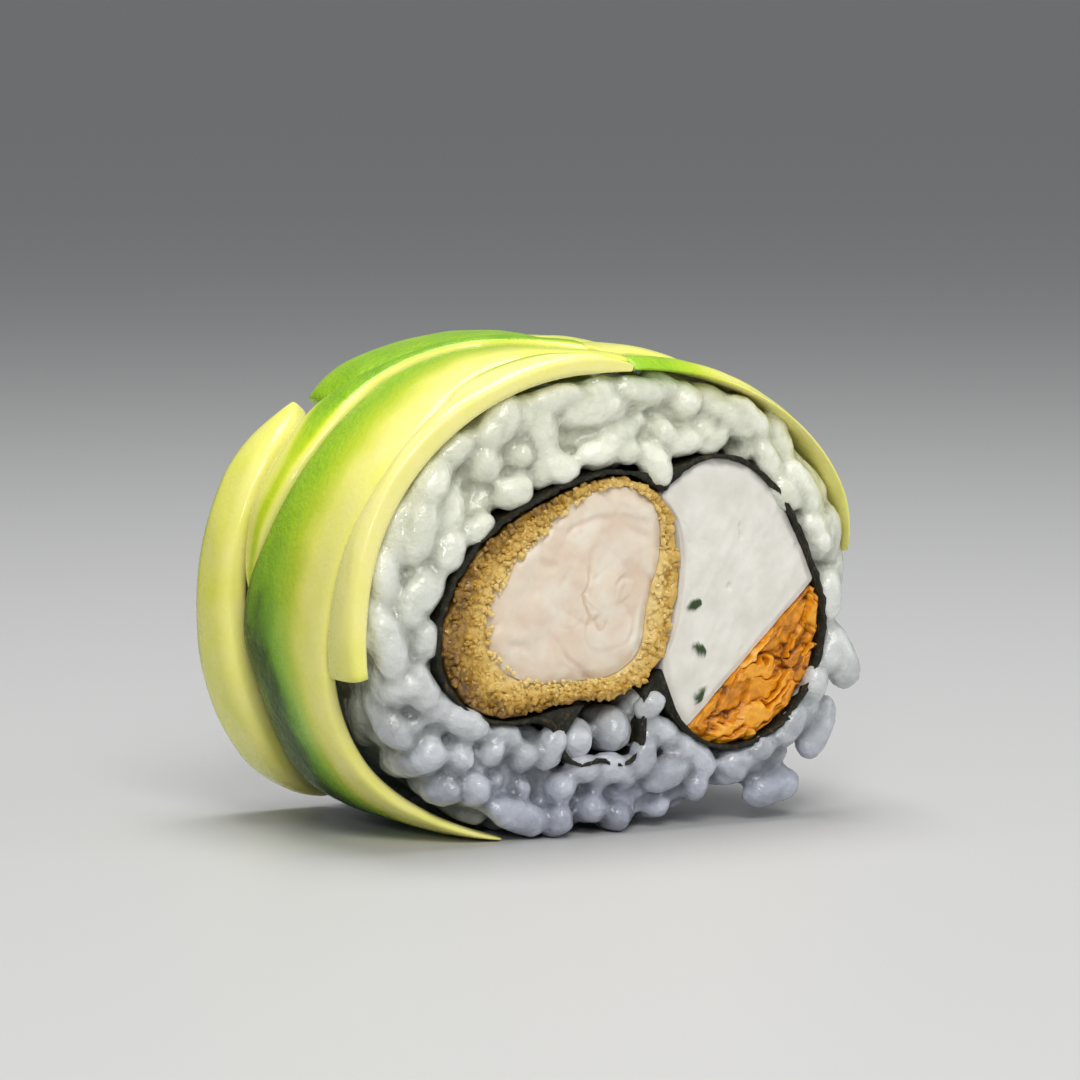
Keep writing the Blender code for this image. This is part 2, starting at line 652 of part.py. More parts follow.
def make_salmon(collection, cutters, material):
    """The cooked salmon: the lower right of the lobe, its cut ends broken into flakes."""
    outline = shape_outline(SOFT_LOBE, LOBE_SIDES)
    depth = FILLING_HALF_LENGTH - 0.8 * MM
    salmon = place(extrude_outlines([outline], depth, "salmon"), "salmon", collection, material)
    flakes = make_collection("flakes")
    salmon_flakes(flakes)
    apply_boolean(salmon, "UNION", collection=flakes, solver="MANIFOLD")
    bpy.data.collections.remove(flakes)
    trim = place(extrude_outlines([outline], ROLL_LENGTH, "lobe"), "lobe", cutters)
    apply_boolean(salmon, "INTERSECT", cutter=trim, solver="MANIFOLD")
    side = place(salmon_side(GAP / 2), "salmon_side", cutters)
    apply_boolean(salmon, "INTERSECT", cutter=side, solver="MANIFOLD")
    around_batter = extrude_outlines([shape_outline(BATTER, LOBE_SIDES, grow=GAP)], ROLL_LENGTH, "around_batter")
    batter = place(around_batter, "around_batter", cutters)
    apply_boolean(salmon, "DIFFERENCE", cutter=batter, solver="MANIFOLD")
    keep_largest_body(salmon)


def seam_y(seam, angle):
    """Where a seam runs at an angle in degrees, in metres along the roll, smooth through its points."""
    if angle <= seam[0][0]:
        return seam[0][1] * MM
    for number in range(len(seam) - 1):
        (a1, y1), (a2, y2) = seam[number], seam[number + 1]
        if angle <= a2:
            before = seam[max(number - 1, 0)]
            after = seam[min(number + 2, len(seam) - 1)]
            slope_1 = (y2 - before[1]) / max(a2 - before[0], 1e-6) * (a2 - a1)
            slope_2 = (after[1] - y1) / max(after[0] - a1, 1e-6) * (a2 - a1)
            t = (angle - a1) / (a2 - a1)
            blend = (2 * t**3 - 3 * t**2 + 1) * y1 + (t**3 - 2 * t**2 + t) * slope_1
            return (blend + (-2 * t**3 + 3 * t**2) * y2 + (t**3 - t**2) * slope_2) * MM
    return seam[-1][1] * MM


def slice_section(front, back, angle, thickness, width):
    """A rounded plank's cross-section at an angle in degrees, lying on the rice between two seams."""
    start = seam_y(front, angle) + SEAM_GAP / 2
    end = seam_y(back, angle) - SEAM_GAP / 2
    turn = math.radians(angle)
    points = []
    for step in range(SLICE_SECTION_POINTS):
        way = 2 * math.pi * (step + 0.5) / SLICE_SECTION_POINTS
        c, s = math.cos(way), math.sin(way)
        across = math.copysign(abs(c) ** (2 / SLICE_EDGE), c) * width
        up = math.copysign(abs(s) ** (2 / SLICE_EDGE), s)
        radius = rice_radius(turn) + AVOCADO_CLEARANCE + thickness * (0.5 + 0.5 * up)
        point = on_roll(turn, radius, (start + end) / 2 + across * (end - start) / 2)
        point.z = max(point.z, FLOOR_CLEARANCE)
        points.append(point)
    return points


def end_share(share, ends):
    """1 along most of a slice, going down to the given shares within its two ends."""
    first = (1 - ends[0]) * max(0, 1 - share / SLICE_TAPER) ** 2
    last = (1 - ends[1]) * max(0, 1 - (1 - share) / SLICE_TAPER) ** 2
    return 1 - first - last


def make_slice(name, collection, material):
    """One avocado slice, bent round the rice, thick in its middle and thinner towards its ends."""
    front, back, first, last, thickness, thin, narrow = SLICES[name]
    count = round((last - first) / SLICE_STEP)
    sections = []
    for step in range(count + 1):
        share = step / count
        angle = first + (last - first) * share
        deep = thickness * MM * end_share(share, thin)
        sections.append(slice_section(front, back, angle, deep, end_share(share, narrow)))
    place(loft(sections, name), name, collection, material)


def main():
    clear_scene()
    roll = make_collection("uramaki_roll")
    cutters = make_collection("cutters")
    materials = {name: make_material(name) for name in COLOURS}
    make_rice(roll, cutters, materials["rice"])
    make_nori(roll, materials["nori"])
    make_inner_rice(roll, materials["rice"])
    make_batter(roll, materials["batter"])
    make_prawn(roll, materials["prawn"])
    make_cream_cheese(roll, cutters, materials["cream_cheese"])
    make_salmon(roll, cutters, materials["salmon"])
    for name in SLICES:
        make_slice(name, roll, materials["avocado"])


main()
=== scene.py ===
import random
from math import atan2, copysign, cos, degrees, exp, hypot, pi, radians, sin

import bmesh
import bpy
import numpy as np
from mathutils import Matrix, Vector, noise
from mathutils.kdtree import KDTree


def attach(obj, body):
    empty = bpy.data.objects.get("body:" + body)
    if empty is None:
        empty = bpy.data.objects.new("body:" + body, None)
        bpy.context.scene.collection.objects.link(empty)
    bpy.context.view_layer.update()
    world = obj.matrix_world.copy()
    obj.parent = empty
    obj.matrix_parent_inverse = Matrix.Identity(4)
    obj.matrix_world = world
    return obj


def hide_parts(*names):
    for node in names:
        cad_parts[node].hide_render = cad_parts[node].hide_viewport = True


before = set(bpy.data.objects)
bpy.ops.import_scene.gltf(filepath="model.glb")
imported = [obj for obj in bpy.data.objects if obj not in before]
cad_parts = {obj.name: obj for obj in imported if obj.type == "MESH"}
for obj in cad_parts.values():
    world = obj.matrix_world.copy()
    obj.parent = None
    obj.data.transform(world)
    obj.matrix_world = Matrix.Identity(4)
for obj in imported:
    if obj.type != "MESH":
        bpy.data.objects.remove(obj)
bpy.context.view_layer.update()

MM = 0.001

# The roll, with the sizes of its solids
ROLL_LENGTH = 29.0 * MM
RICE_HALF_WIDTH = 24.9 * MM
RICE_HALF_HEIGHT = 20.75 * MM
RICE_SQUARENESS = 2.25
RICE_LEAN = 0.035
RICE_HOLLOW = 1.1 * MM
RICE_CENTRE_Z = 20.45 * MM
CORE_INSET = 1.7 * MM
CORE_WALL = 1.1 * MM
CORE_HALF_LENGTH = ROLL_LENGTH / 2 - 1.9 * MM
GRAIN_LENGTH = 6.9 * MM
GRAIN_WIDTH = 3.4 * MM
GRAIN_SPREAD = 0.14
GRAIN_PACKING = 0.76
FILL_PACKING = 0.56
FILL_DEEPER = 0.8 * MM
FILL_WIDTH = 0.88
FACE_TRIES, BARREL_TRIES = 4000, 4000
LOOSE_GRAINS = (
    ((22.3, -12.8, 17.6), (25.2, -13.0, 11.2), 3.4),
    ((20.2, -12.9, 5.2), (23.3, -12.6, 10.4), 3.4),
    ((13.5, -13.3, 1.9), (19.6, -13.0, 3.6), 3.2),
    ((18.6, -12.6, 7.2), (21.4, -12.5, 12.6), 3.4),
    ((12.4, -12.6, 4.2), (18.4, -12.4, 6.4), 3.4),
)
GRAIN_SEED = 5
GRAIN_SIDES, GRAIN_RINGS = 16, 11
RIM_TRIES = 2600
STRANDS = ((-3.9, 8.6, 4.3), (0.0, 8.9, 4.5), (3.5, 11.2, 3.7))
STRAND_GRAINS, STRAND_PITCH = 5, 5.7
SOLE_CORNERS = ((-6.5, -7.5), (6.5, -7.5), (6.5, 7.5), (-6.5, 7.5))
SOLE_HEIGHT = 2.5
CORE_SIDES = 180
MELT_CELL = 0.378 * MM

BATTER = ((-5.3 * MM, 21.0 * MM), 11.25 * MM, ((2, 1.72 * MM, 25), (3, 0.64 * MM, -45), (4, 0.51 * MM, 43)))
PRAWN = ((-4.0 * MM, 21.7 * MM), 8.45 * MM, ((2, 1.35 * MM, 45), (3, 0.80 * MM, -54), (4, 0.40 * MM, 41)))
SOFT_LOBE = ((12.1 * MM, 19.9 * MM), 10.3 * MM, ((2, 2.50 * MM, -80), (3, 0.80 * MM, -1)))
INNER_RICE = ((-2.0 * MM, 8.45 * MM), 2.65 * MM, ((2, 1.25 * MM, -5),))
SALMON_LINE = ((21.2 * MM, 22.2 * MM), (8.0 * MM, 9.7 * MM))
FILLING_HALF_LENGTH = 14.2 * MM
GAP = 0.3 * MM
RAY_STEP, HALVINGS = 0.2 * MM, 12
NORI_THICKNESS = 0.4 * MM
NORI_SLACK = 0.3 * MM
NORI_BRIDGE = 4.5 * MM
NORI_TUCK = 1.0 * MM
NORI_CENTRE = (2.5 * MM, 19.0 * MM)
NORI_SIDES, NORI_ROWS = 260, 40
BATTER_SIDES, BATTER_STATIONS, BATTER_FACE_ROWS = 220, 36, 18
CRUMB_SEED = 11
CRUMBS_ON_A_FACE = 1100
PRAWN_SIDES = 200
CREASE_CENTRE = (-1.2 * MM, 20.4 * MM)
CHEESE_CENTRE = (11.0 * MM, 22.5 * MM)
SALMON_CENTRE = (15.6 * MM, 13.2 * MM)
FACE_SIDES, FACE_ROWS, SALMON_ROWS, BLOCK_STATIONS = 220, 46, 80, 8
FLECKS = ((7.7, 20.1, 20), (8.2, 16.0, -35), (8.3, 11.8, 60))
FLECK_SIZE = (0.85 * MM, 0.5 * MM)
FLAKE_SLOPE = radians(32)

FRONT, BACK = -14.7, 14.7
FRONT_RIM = ((0, FRONT), (360, FRONT))
BACK_RIM = ((0, BACK), (360, BACK))
SEAM_1_2 = (
    (86, -14.3), (95, -13.1), (105, -9.9), (114, -8.6), (125, -9.6), (134, -11.4), (149, -12.2),
    (157, -11.8), (166, -10.9), (176, -10.1), (190, -9.0), (207, -8.5), (216, -9.0), (226, -11.4),
    (234, -13.6), (242, -14.6),
)
SLICE_2_BACK = (
    (86, -6.0), (92, -3.2), (100, 1.2), (108, 2.8), (126, 3.4), (141, 2.4), (156, 2.6), (169, 4.2),
    (177, 5.9), (187, 6.6), (196, 5.1), (207, 5.2), (219, 7.0), (230, 7.0), (242, 2.0),
)
SEAM_3_4 = (
    (84, 3.4), (99, 5.2), (110, 6.2), (118, 6.5), (129, 7.6), (138, 8.6), (146, 8.2), (161, 7.7), (180, 7.9),
)
SLICE_5_FRONT = (
    (136, 13.4), (141, 10.6), (147, 9.0), (161, 8.2), (177, 8.2), (184, 7.9), (191, 7.3), (200, 6.7),
    (209, 7.0), (219, 8.5), (232, 11.2),
)
SEAM_6_7 = ((-16, -6.5), (20, -4.6), (60, -5.4), (82, -8.0))
SEAM_7_8 = ((-16, 4.4), (20, 6.2), (60, 4.2), (84, 2.2))
SEAM_GAP = 0.4 * MM
SLICES = {
    "avocado_slice_1": (FRONT_RIM, SEAM_1_2, 87.3, 191, 2.3, (0.35, 0.85), (1.0, 1.0)),
    "avocado_slice_2": (SEAM_1_2, SLICE_2_BACK, 87.5, 241, 2.5, (0.60, 0.22), (1.0, 0.8)),
    "avocado_slice_3": (SLICE_2_BACK, SEAM_3_4, 85.5, 179, 2.6, (0.80, 0.30), (1.0, 0.7)),
    "avocado_slice_4": (SEAM_3_4, BACK_RIM, 80, 134, 2.3, (0.80, 0.60), (1.0, 0.75)),
    "avocado_slice_5": (SLICE_5_FRONT, BACK_RIM, 137, 231, 3.1, (0.55, 0.35), (0.7, 0.6)),
    "avocado_slice_6": (FRONT_RIM, SEAM_6_7, 8, 86.2, 1.3, (0.15, 0.90), (0.7, 1.0)),
    "avocado_slice_7": (SEAM_6_7, SEAM_7_8, -14, 84.6, 2.1, (0.35, 0.80), (0.6, 1.0)),
    "avocado_slice_8": (SEAM_7_8, BACK_RIM, -6, 79.0, 2.3, (0.35, 0.80), (0.6, 1.0)),
}
AVOCADO_CLEARANCE = 0.25 * MM
SLICE_TAPER = 0.22
SLICE_EDGE = 3.2
FLOOR_CLEARANCE = 0.05 * MM
SLICE_SIDES = 44
SLICE_STEP = 1.4
SLICE_RADIUS = 22 * MM
# The rounded ends of a slice: how full each section is, and how many degrees past the end it lies
ROUNDED_END = ((0.35, 0.45), (0.75, 0.3), (0.93, 0.1))

# The camera of the photograph
PHOTO_SIZE = 1080
PIXELS_A_MM = 11
VIEW_TURN, VIEW_DROP, VIEW_DISTANCE = radians(-30), radians(6), 0.5
VIEW_HEIGHT = 21.3 * MM
VIEW_SHIFT = 40
SENSOR = 36

# Name, place, size, power and colour of each light
LIGHTS = (
    ("key", (-0.16, -0.42, 0.42), (0.26, 0.26), 1.9, (1.0, 0.98, 0.95)),
    ("top", (0.02, 0.06, 0.50), (0.30, 0.30), 2.2, (1.0, 1.0, 1.0)),
    ("glint", (-0.30, -0.45, 0.20), (0.05, 0.05), 0.35, (1.0, 1.0, 1.0)),
    ("side", (0.45, -0.30, 0.18), (0.20, 0.35), 0.45, (0.93, 0.96, 1.0)),
)
LIGHT_AIM = Vector((0, 0, 0.02))
WORLD_COLOUR, WORLD_STRENGTH = (0.82, 0.84, 0.87, 1), 0.30
FLOOR_HALF, FLOOR_DROP = 40, 0.1 * MM


def step(low, high, value):
    """0 below low, 1 above high, smooth between."""
    t = min(max((value - low) / (high - low), 0.0), 1.0)
    return t * t * (3 - 2 * t)


def bumps(point, size, seed=0.0):
    """Smooth noise from -1 to 1 with features of a size."""
    return noise.noise(Vector((point[0] / size + seed, point[1] / size, point[2] / size - seed)))


def rice_radius(angle, inset=0.0):
    c, s = abs(cos(angle)), abs(sin(angle))
    power = RICE_SQUARENESS
    plain = ((c / RICE_HALF_WIDTH) ** power + (s / RICE_HALF_HEIGHT) ** power) ** (-1 / power)
    hollow = RICE_HOLLOW * max(cos(angle - pi / 4), 0) ** 4
    return plain * (1 + RICE_LEAN * cos(2 * (angle - pi / 4))) - hollow - inset


def on_roll(angle, radius, y):
    return Vector((radius * cos(angle), y, RICE_CENTRE_Z + radius * sin(angle)))


def shape_radius(shape, angle):
    _, mean, swells = shape
    return mean + sum(
        size * cos(order * (angle - radians(towards))) for order, size, towards in swells
    )


def shape_point(shape, angle, grow=0.0):
    radius = shape_radius(shape, angle) + grow
    return shape[0][0] + radius * cos(angle), shape[0][1] + radius * sin(angle)


def shape_ring(shape, count, grow=0.0):
    return [shape_point(shape, 2 * pi * number / count, grow) for number in range(count)]


def shape_distance(shape, x, z):
    dx, dz = x - shape[0][0], z - shape[0][1]
    return hypot(dx, dz) - shape_radius(shape, atan2(dz, dx))


def soft_minimum(a, b, width):
    share = max(width - abs(a - b), 0.0) / width
    return min(a, b) - share * share * width / 4


def filling_distance(x, z, bridge=NORI_BRIDGE):
    first = soft_minimum(shape_distance(BATTER, x, z), shape_distance(SOFT_LOBE, x, z), bridge)
    return soft_minimum(first, shape_distance(INNER_RICE, x, z), bridge)


def salmon_line(x, z):
    """How far a point lies on the salmon's side of its plane."""
    (x1, z1), (x2, z2) = SALMON_LINE
    along = Vector((x1 - x2, z1 - z2)).normalized()
    return (x - x2) * along.y - (z - z2) * along.x


def lobe_distance(x, z):
    return max(shape_distance(SOFT_LOBE, x, z), GAP - shape_distance(BATTER, x, z))


def cheese_distance(x, z):
    return max(lobe_distance(x, z), salmon_line(x, z) + GAP / 2)


def salmon_distance(x, z):
    return max(lobe_distance(x, z), GAP / 2 - salmon_line(x, z))


def outline_of(distance, centre, count, grow=0.0, reach=RICE_HALF_WIDTH):
    """Points (x, z) where a distance reaches a value, along rays from a centre, found from outside."""

    def on_ray(angle, far):
        return centre[0] + cos(angle) * far, centre[1] + sin(angle) * far

    points = []
    for number in range(count):
        angle = 2 * pi * number / count
        outside = reach
        while outside > 0 and distance(*on_ray(angle, outside - RAY_STEP)) > grow:
            outside -= RAY_STEP
        inside = outside - RAY_STEP
        for _ in range(HALVINGS):
            between = (inside + outside) / 2
            if distance(*on_ray(angle, between)) < grow:
                inside = between
            else:
                outside = between
        points.append(on_ray(angle, inside))
    return points


def seam_y(seam, angle):
    if angle <= seam[0][0]:
        return seam[0][1] * MM
    for number in range(len(seam) - 1):
        (a1, y1), (a2, y2) = seam[number], seam[number + 1]
        if angle <= a2:
            before = seam[max(number - 1, 0)]
            after = seam[min(number + 2, len(seam) - 1)]
            slope_1 = (y2 - before[1]) / max(a2 - before[0], 1e-6) * (a2 - a1)
            slope_2 = (after[1] - y1) / max(after[0] - a1, 1e-6) * (a2 - a1)
            t = (angle - a1) / (a2 - a1)
            blend = (2 * t**3 - 3 * t**2 + 1) * y1 + (t**3 - 2 * t**2 + t) * slope_1
            return (blend + (-2 * t**3 + 3 * t**2) * y2 + (t**3 - t**2) * slope_2) * MM
    return seam[-1][1] * MM


def store(mesh, values):
    """Keeps named values per point, which the materials read."""
    for key, numbers in values.items():
        attribute = mesh.attributes.new(key, "FLOAT", "POINT")
        attribute.data.foreach_set("value", np.array(numbers, dtype=np.float32))


def make_piece(name, points, faces, look, values=None):
    """A smooth mesh object with its material and named values per point."""
    mesh = bpy.data.meshes.new(name)
    mesh.from_pydata([tuple(p) for p in points], [], faces)
    mesh.update()
    made = bpy.data.objects.new(name, mesh)
    bpy.context.scene.collection.objects.link(made)
    mesh.materials.append(look)
    mesh.shade_smooth()
    store(mesh, values or {})
    return made


def loft_faces(rows, sides, ring=False):
    """Faces between rows of points that lie one after another, closed round each row."""
    faces = []
    for row in range(rows if ring else rows - 1):
        after = (row + 1) % rows
        for side in range(sides):
            right = (side + 1) % sides
            a, b = row * sides, after * sides
            faces.append((a + side, a + right, b + right, b + side))
    if not ring:
        faces.append(tuple(range(sides))[::-1])
        faces.append(tuple((rows - 1) * sides + side for side in range(sides)))
    return faces


def set_normals(made):
    """Turns every face outwards."""
    work = bmesh.new()
    work.from_mesh(made.data)
    bmesh.ops.recalc_face_normals(work, faces=work.faces)
    work.to_mesh(made.data)
    work.free()


# Rice


def fits(circles, taken, packing=GRAIN_PACKING):
    for x, z, radius in circles:
        for other_x, other_z, other_radius in taken:
            reach = packing * (radius + other_radius)
            if (x - other_x) ** 2 + (z - other_z) ** 2 < reach * reach:
                return False
    return True


def footprint(u, v, turn, length, width):
    offset = (length - width) / 2
    return [
        (u + shift * offset * cos(turn), v + shift * offset * sin(turn), width / 2)
        for shift in (-1, 0, 1)
    ]


def in_rice(x, z, radius, close):
    """Whether a circle lies between the nori and the outside of the roll."""
    outside = rice_radius(atan2(z - RICE_CENTRE_Z, x), 0.1 * MM)
    if hypot(x, z - RICE_CENTRE_Z) + radius > outside:
        return False
    return filling_distance(x, z) > radius * close + NORI_SLACK + NORI_THICKNESS


def face_grains(side, draw, taken, fill=False):
    laid = []
    packing, deeper, close = (FILL_PACKING, FILL_DEEPER, 0.3) if fill else (GRAIN_PACKING, 0.0, 0.55)
    for _ in range(FACE_TRIES):
        x = draw.uniform(-RICE_HALF_WIDTH, RICE_HALF_WIDTH)
        z = draw.uniform(0, 2 * RICE_HALF_HEIGHT)
        size = 1 + draw.uniform(-GRAIN_SPREAD, GRAIN_SPREAD)
        angle = atan2(z - RICE_CENTRE_Z, x)
        end_on = draw.random() < (0.75 if sin(angle) < -0.45 else 0.15)
        turn = angle + pi / 2 + draw.gauss(0, 0.45)
        proud = draw.uniform(-0.4, 0.35) * MM - deeper
        width = GRAIN_WIDTH * size * (FILL_WIDTH if fill else 1.0)
        length = width * 1.15 if end_on else GRAIN_LENGTH * size
        circles = footprint(x, z, turn, length, width)
        in_ring = all(in_rice(*circle, close) for circle in circles)
        if not in_ring or not fits(circles, taken, packing):
            continue
        taken += circles
        depth = side * (ROLL_LENGTH / 2 + proud - width / 2)
        if end_on:
            depth = side * (ROLL_LENGTH / 2 + proud - GRAIN_LENGTH * size / 2)
            along = Vector((draw.uniform(-0.2, 0.2), 1, draw.uniform(-0.2, 0.2)))
        else:
            along = Vector((cos(turn), draw.uniform(-0.12, 0.12), sin(turn)))
        laid.append((Vector((x, depth, z)), along, GRAIN_LENGTH * size, width))
    return laid


def under_avocado(angle, y, margin):
    beside = margin * MM / 3
    for front, back, first, last, *_ in SLICES.values():
        for turn in (angle, angle - 360):
            if first - margin < turn < last + margin:
                if seam_y(front, turn) - beside < y < seam_y(back, turn) + beside:
                    return True
    return False


def barrel_grains(draw):
    taken, laid = [], []
    half = ROLL_LENGTH / 2 - GRAIN_WIDTH
    for _ in range(BARREL_TRIES):
        around_roll = draw.uniform(180, 380)
        y = draw.uniform(-half, half)
        turn = draw.gauss(pi / 2, 0.8)
        size = 1 + draw.uniform(-GRAIN_SPREAD, GRAIN_SPREAD)
        angle = radians(around_roll)
        length, width = GRAIN_LENGTH * size, GRAIN_WIDTH * size
        if under_avocado(around_roll % 360, y, -12.0):
            continue
        arc = angle * (RICE_HALF_WIDTH + RICE_HALF_HEIGHT) / 2
        circles = footprint(arc, y, turn, length, width)
        if not fits(circles, taken):
            continue
        taken += circles
        radius = rice_radius(angle, width / 2 + 0.05 * MM)
        around = Vector((-sin(angle), 0, cos(angle)))
        along = around * cos(turn) + Vector((0, sin(turn), 0))
        sink = (length / 2) ** 2 / (2 * radius) * cos(turn) ** 2
        laid.append((on_roll(angle, radius - sink, y), along, length, width))
    return laid


def loose_grains():
    laid = []
    for start, end, width in LOOSE_GRAINS:
        first, last = Vector(start) * MM, Vector(end) * MM
        laid.append(((first + last) / 2, last - first, (last - first).length, width * MM))
    return laid


def close_distance(x, z):
    """About how far a point is from the nearest piece of the filling, not bridged."""
    return soft_minimum(
        soft_minimum(shape_distance(BATTER, x, z), shape_distance(SOFT_LOBE, x, z), 0.8 * MM),
        shape_distance(INNER_RICE, x, z) + 0.6 * MM,
        0.8 * MM,
    )


def edge_grains(draw):
    """Grains along the upper edge of both cut faces, pressed up against the avocado."""
    laid = []
    for side in (-1, 1):
        place = 3.0
        while place < 193:
            angle = radians(place)
            width = GRAIN_WIDTH * draw.uniform(0.8, 1.08)
            length = GRAIN_LENGTH * draw.uniform(0.75, 1.1)
            around = Vector((-sin(angle), 0, cos(angle)))
            spot = on_roll(angle, rice_radius(angle, width / 2 + draw.uniform(-0.15, 0.3) * MM), 0)
            spot.y = side * (ROLL_LENGTH / 2 - width / 2 - draw.uniform(-0.1, 0.9) * MM)
            tilt = Vector((cos(angle), 0, sin(angle))) * draw.gauss(0, 0.18)
            laid.append((spot, around + tilt, length, width))
            place += draw.uniform(8.0, 13.0)
    return laid


def rim_grains(draw):
    """Small grains pressed against the nori on both cut faces, which cover parts of its edge."""
    laid = []
    for side in (-1, 1):
        taken = []
        for _ in range(RIM_TRIES):
            x = draw.uniform(-RICE_HALF_WIDTH, RICE_HALF_WIDTH)
            z = draw.uniform(0, 2 * RICE_HALF_HEIGHT)
            off = close_distance(x, z) / MM
            size = draw.uniform(0.68, 0.92)
            width = GRAIN_WIDTH * size
            if not 1.1 < off < 2.3:
                continue
            # A grain lies along the nori: square to the way in which the distance grows.
            grow_x = close_distance(x + 0.1 * MM, z) - close_distance(x - 0.1 * MM, z)
            grow_z = close_distance(x, z + 0.1 * MM) - close_distance(x, z - 0.1 * MM)
            turn = atan2(grow_z, grow_x) + pi / 2 + draw.gauss(0, 0.35)
            length = GRAIN_LENGTH * size * draw.uniform(0.6, 0.95)
            circles = footprint(x, z, turn, length, width)
            touching = any(close_distance(cx, cz) < 0.85 * MM for cx, cz, _ in circles)
            if touching or not fits(circles, taken, 0.62):
                continue
            taken += circles
            depth = side * (ROLL_LENGTH / 2 - width / 2 + draw.uniform(0.05, 0.75) * MM)
            along = Vector((cos(turn), 0, sin(turn)))
            laid.append((Vector((x, depth, z)), along, length, width))
    return laid


def inner_grains(draw):
    """Strands of grains between the batter and the nori, seen end-on at both cuts."""
    laid = []
    for x, z, width in STRANDS:
        for number in range(STRAND_GRAINS):
            y = STRAND_PITCH * (number - (STRAND_GRAINS - 1) / 2)
            spot = Vector((x + draw.uniform(-0.2, 0.2), y, z + draw.uniform(-0.15, 0.15))) * MM
            along = Vector((draw.uniform(-0.1, 0.1), 1, draw.uniform(-0.1, 0.1)))
            laid.append((spot, along, 6.8 * MM, width * MM))
    return laid


def resized(laid, size, sink):
    """The same grains a little larger or smaller, and sunk from the cut face."""
    made = []
    for centre, along, length, width in laid:
        spot = centre.copy()
        spot.y -= copysign(sink, spot.y)
        made.append((spot, along, length * size, width * size))
    return made


def grain_cloud(laid, draw):
    """Points and faces of plump grains, each a little bent and uneven."""
    sides, rings = GRAIN_SIDES, GRAIN_RINGS
    points, faces = [], []
    for centre, along, length, width in laid:
        turn = along.to_track_quat("Z", "Y").to_matrix()
        bend, flat, skew = draw.uniform(-0.05, 0.08), draw.uniform(0.86, 1.0), draw.uniform(-0.1, 0.1)
        seed = draw.uniform(0, 50)
        base = len(points)
        for ring in range(rings + 1):
            t = -cos(pi * ring / rings)
            reach = max(1 - abs(t) ** 2.5, 0.0) ** 0.5 * (1 + skew * t)
            for side in range(sides):
                way = 2 * pi * side / sides
                local = Vector((
                    0.5 * width * (reach * cos(way) * flat + bend * (1 - t * t) * 2),
                    0.5 * width * reach * sin(way),
                    0.5 * length * t,
                ))
                local *= 1 + 0.11 * noise.noise(local * 550 + Vector((seed, 0, 0)))
                points.append(centre + turn @ local)
        for ring in range(rings):
            for side in range(sides):
                right = (side + 1) % sides
                a, b = base + ring * sides, base + (ring + 1) * sides
                faces.append((a + side, a + right, b + right, b + side))
        faces.append(tuple(base + side for side in range(sides))[::-1])
        faces.append(tuple(base + rings * sides + side for side in range(sides)))
    return points, faces


def ring_block(outer, inner, half_length):
    """A closed ring between two outlines of equal length."""
    sides = len(outer)
    rows = []
    for outline, side in ((outer, -1), (outer, 1), (inner, 1), (inner, -1)):
        rows += [Vector((x, side * half_length, z)) for x, z in outline]
    return rows, loft_faces(4, sides, ring=True)


def hollows(mesh, spots, normals):
    """How deep in a dip between grains each point lies, from 0 on a ridge to 1 in a dip; the rice material
    paints shade in the dips from it.
    """
    ends = np.zeros(len(mesh.edges) * 2, dtype=np.int32)
    mesh.edges.foreach_get("vertices", ends)
    first, second = ends.reshape(-1, 2).T
    count = np.bincount(ends, minlength=len(spots)).astype(np.float32)
    around = np.zeros_like(spots)
    np.add.at(around, first, spots[second])
    np.add.at(around, second, spots[first])
    rise = ((around / count[:, None] - spots) * normals).sum(axis=1)
    for _ in range(4):
        spread = np.zeros_like(rise)
        np.add.at(spread, first, rise[second])
        np.add.at(spread, second, rise[first])
        rise = 0.4 * rise + 0.6 * spread / count
    return np.clip(0.5 + rise / (0.045 * MM), 0.0, 1.0)


def melted_grains(name, laid, draw, block, look, node):
    """Grains and blocks run together into one fine skin, each grain with a tone of its own."""
    points, faces = grain_cloud(laid, draw)
    for more_points, more_faces in block:
        faces += [tuple(index + len(points) for index in face) for face in more_faces]
        points += more_points
    rough = make_piece(name + "_rough", points, faces, look)
    set_normals(rough)
    melt = rough.modifiers.new("melt", "REMESH")
    melt.mode = "VOXEL"
    melt.voxel_size = MELT_CELL
    soften = rough.modifiers.new("soften", "SMOOTH")
    soften.factor = 0.5
    soften.iterations = 2
    bpy.context.view_layer.update()
    mesh = bpy.data.meshes.new_from_object(rough.evaluated_get(bpy.context.evaluated_depsgraph_get()))
    bpy.data.objects.remove(rough, do_unlink=True)
    made = bpy.data.objects.new(name, mesh)
    bpy.context.scene.collection.objects.link(made)

    tree = KDTree(len(laid) * 3)
    for number, (centre, along, length, _) in enumerate(laid):
        for rank, shift in enumerate((-0.3, 0.0, 0.3)):
            tree.insert(centre + along.normalized() * length * shift, number * 3 + rank)
    tree.balance()
    tones = [draw.random() for _ in laid]
    count = len(mesh.vertices)
    spots, normals = np.zeros(count * 3, np.float32), np.zeros(count * 3, np.float32)
    mesh.vertices.foreach_get("co", spots)
    mesh.vertex_normals.foreach_get("vector", normals)
    spots, normals = spots.reshape(-1, 3), normals.reshape(-1, 3)
    # The dip depth is kept as hollow, which the rice material turns into painted shade between grains.
    hollow = hollows(mesh, spots, normals)
    tone, lift = np.zeros(count, np.float32), np.zeros(count, np.float32)
    for number, spot in enumerate(spots):
        _, found, _ = tree.find(spot)
        tone[number] = tones[found // 3]
        lift[number] = 0.13 * MM * bumps(spot, 1.1 * MM, 3) + 0.04 * MM * bumps(spot, 0.5 * MM, 9)
    spots = spots + normals * lift[:, None]
    spots[:, 2] = np.maximum(spots[:, 2], 0.0)
    mesh.vertices.foreach_set("co", spots.ravel())
    store(mesh, {"tone": tone, "hollow": hollow})
    mesh.materials.clear()
    mesh.materials.append(look)
    mesh.shade_smooth()
    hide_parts(node)
    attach(made, "root")


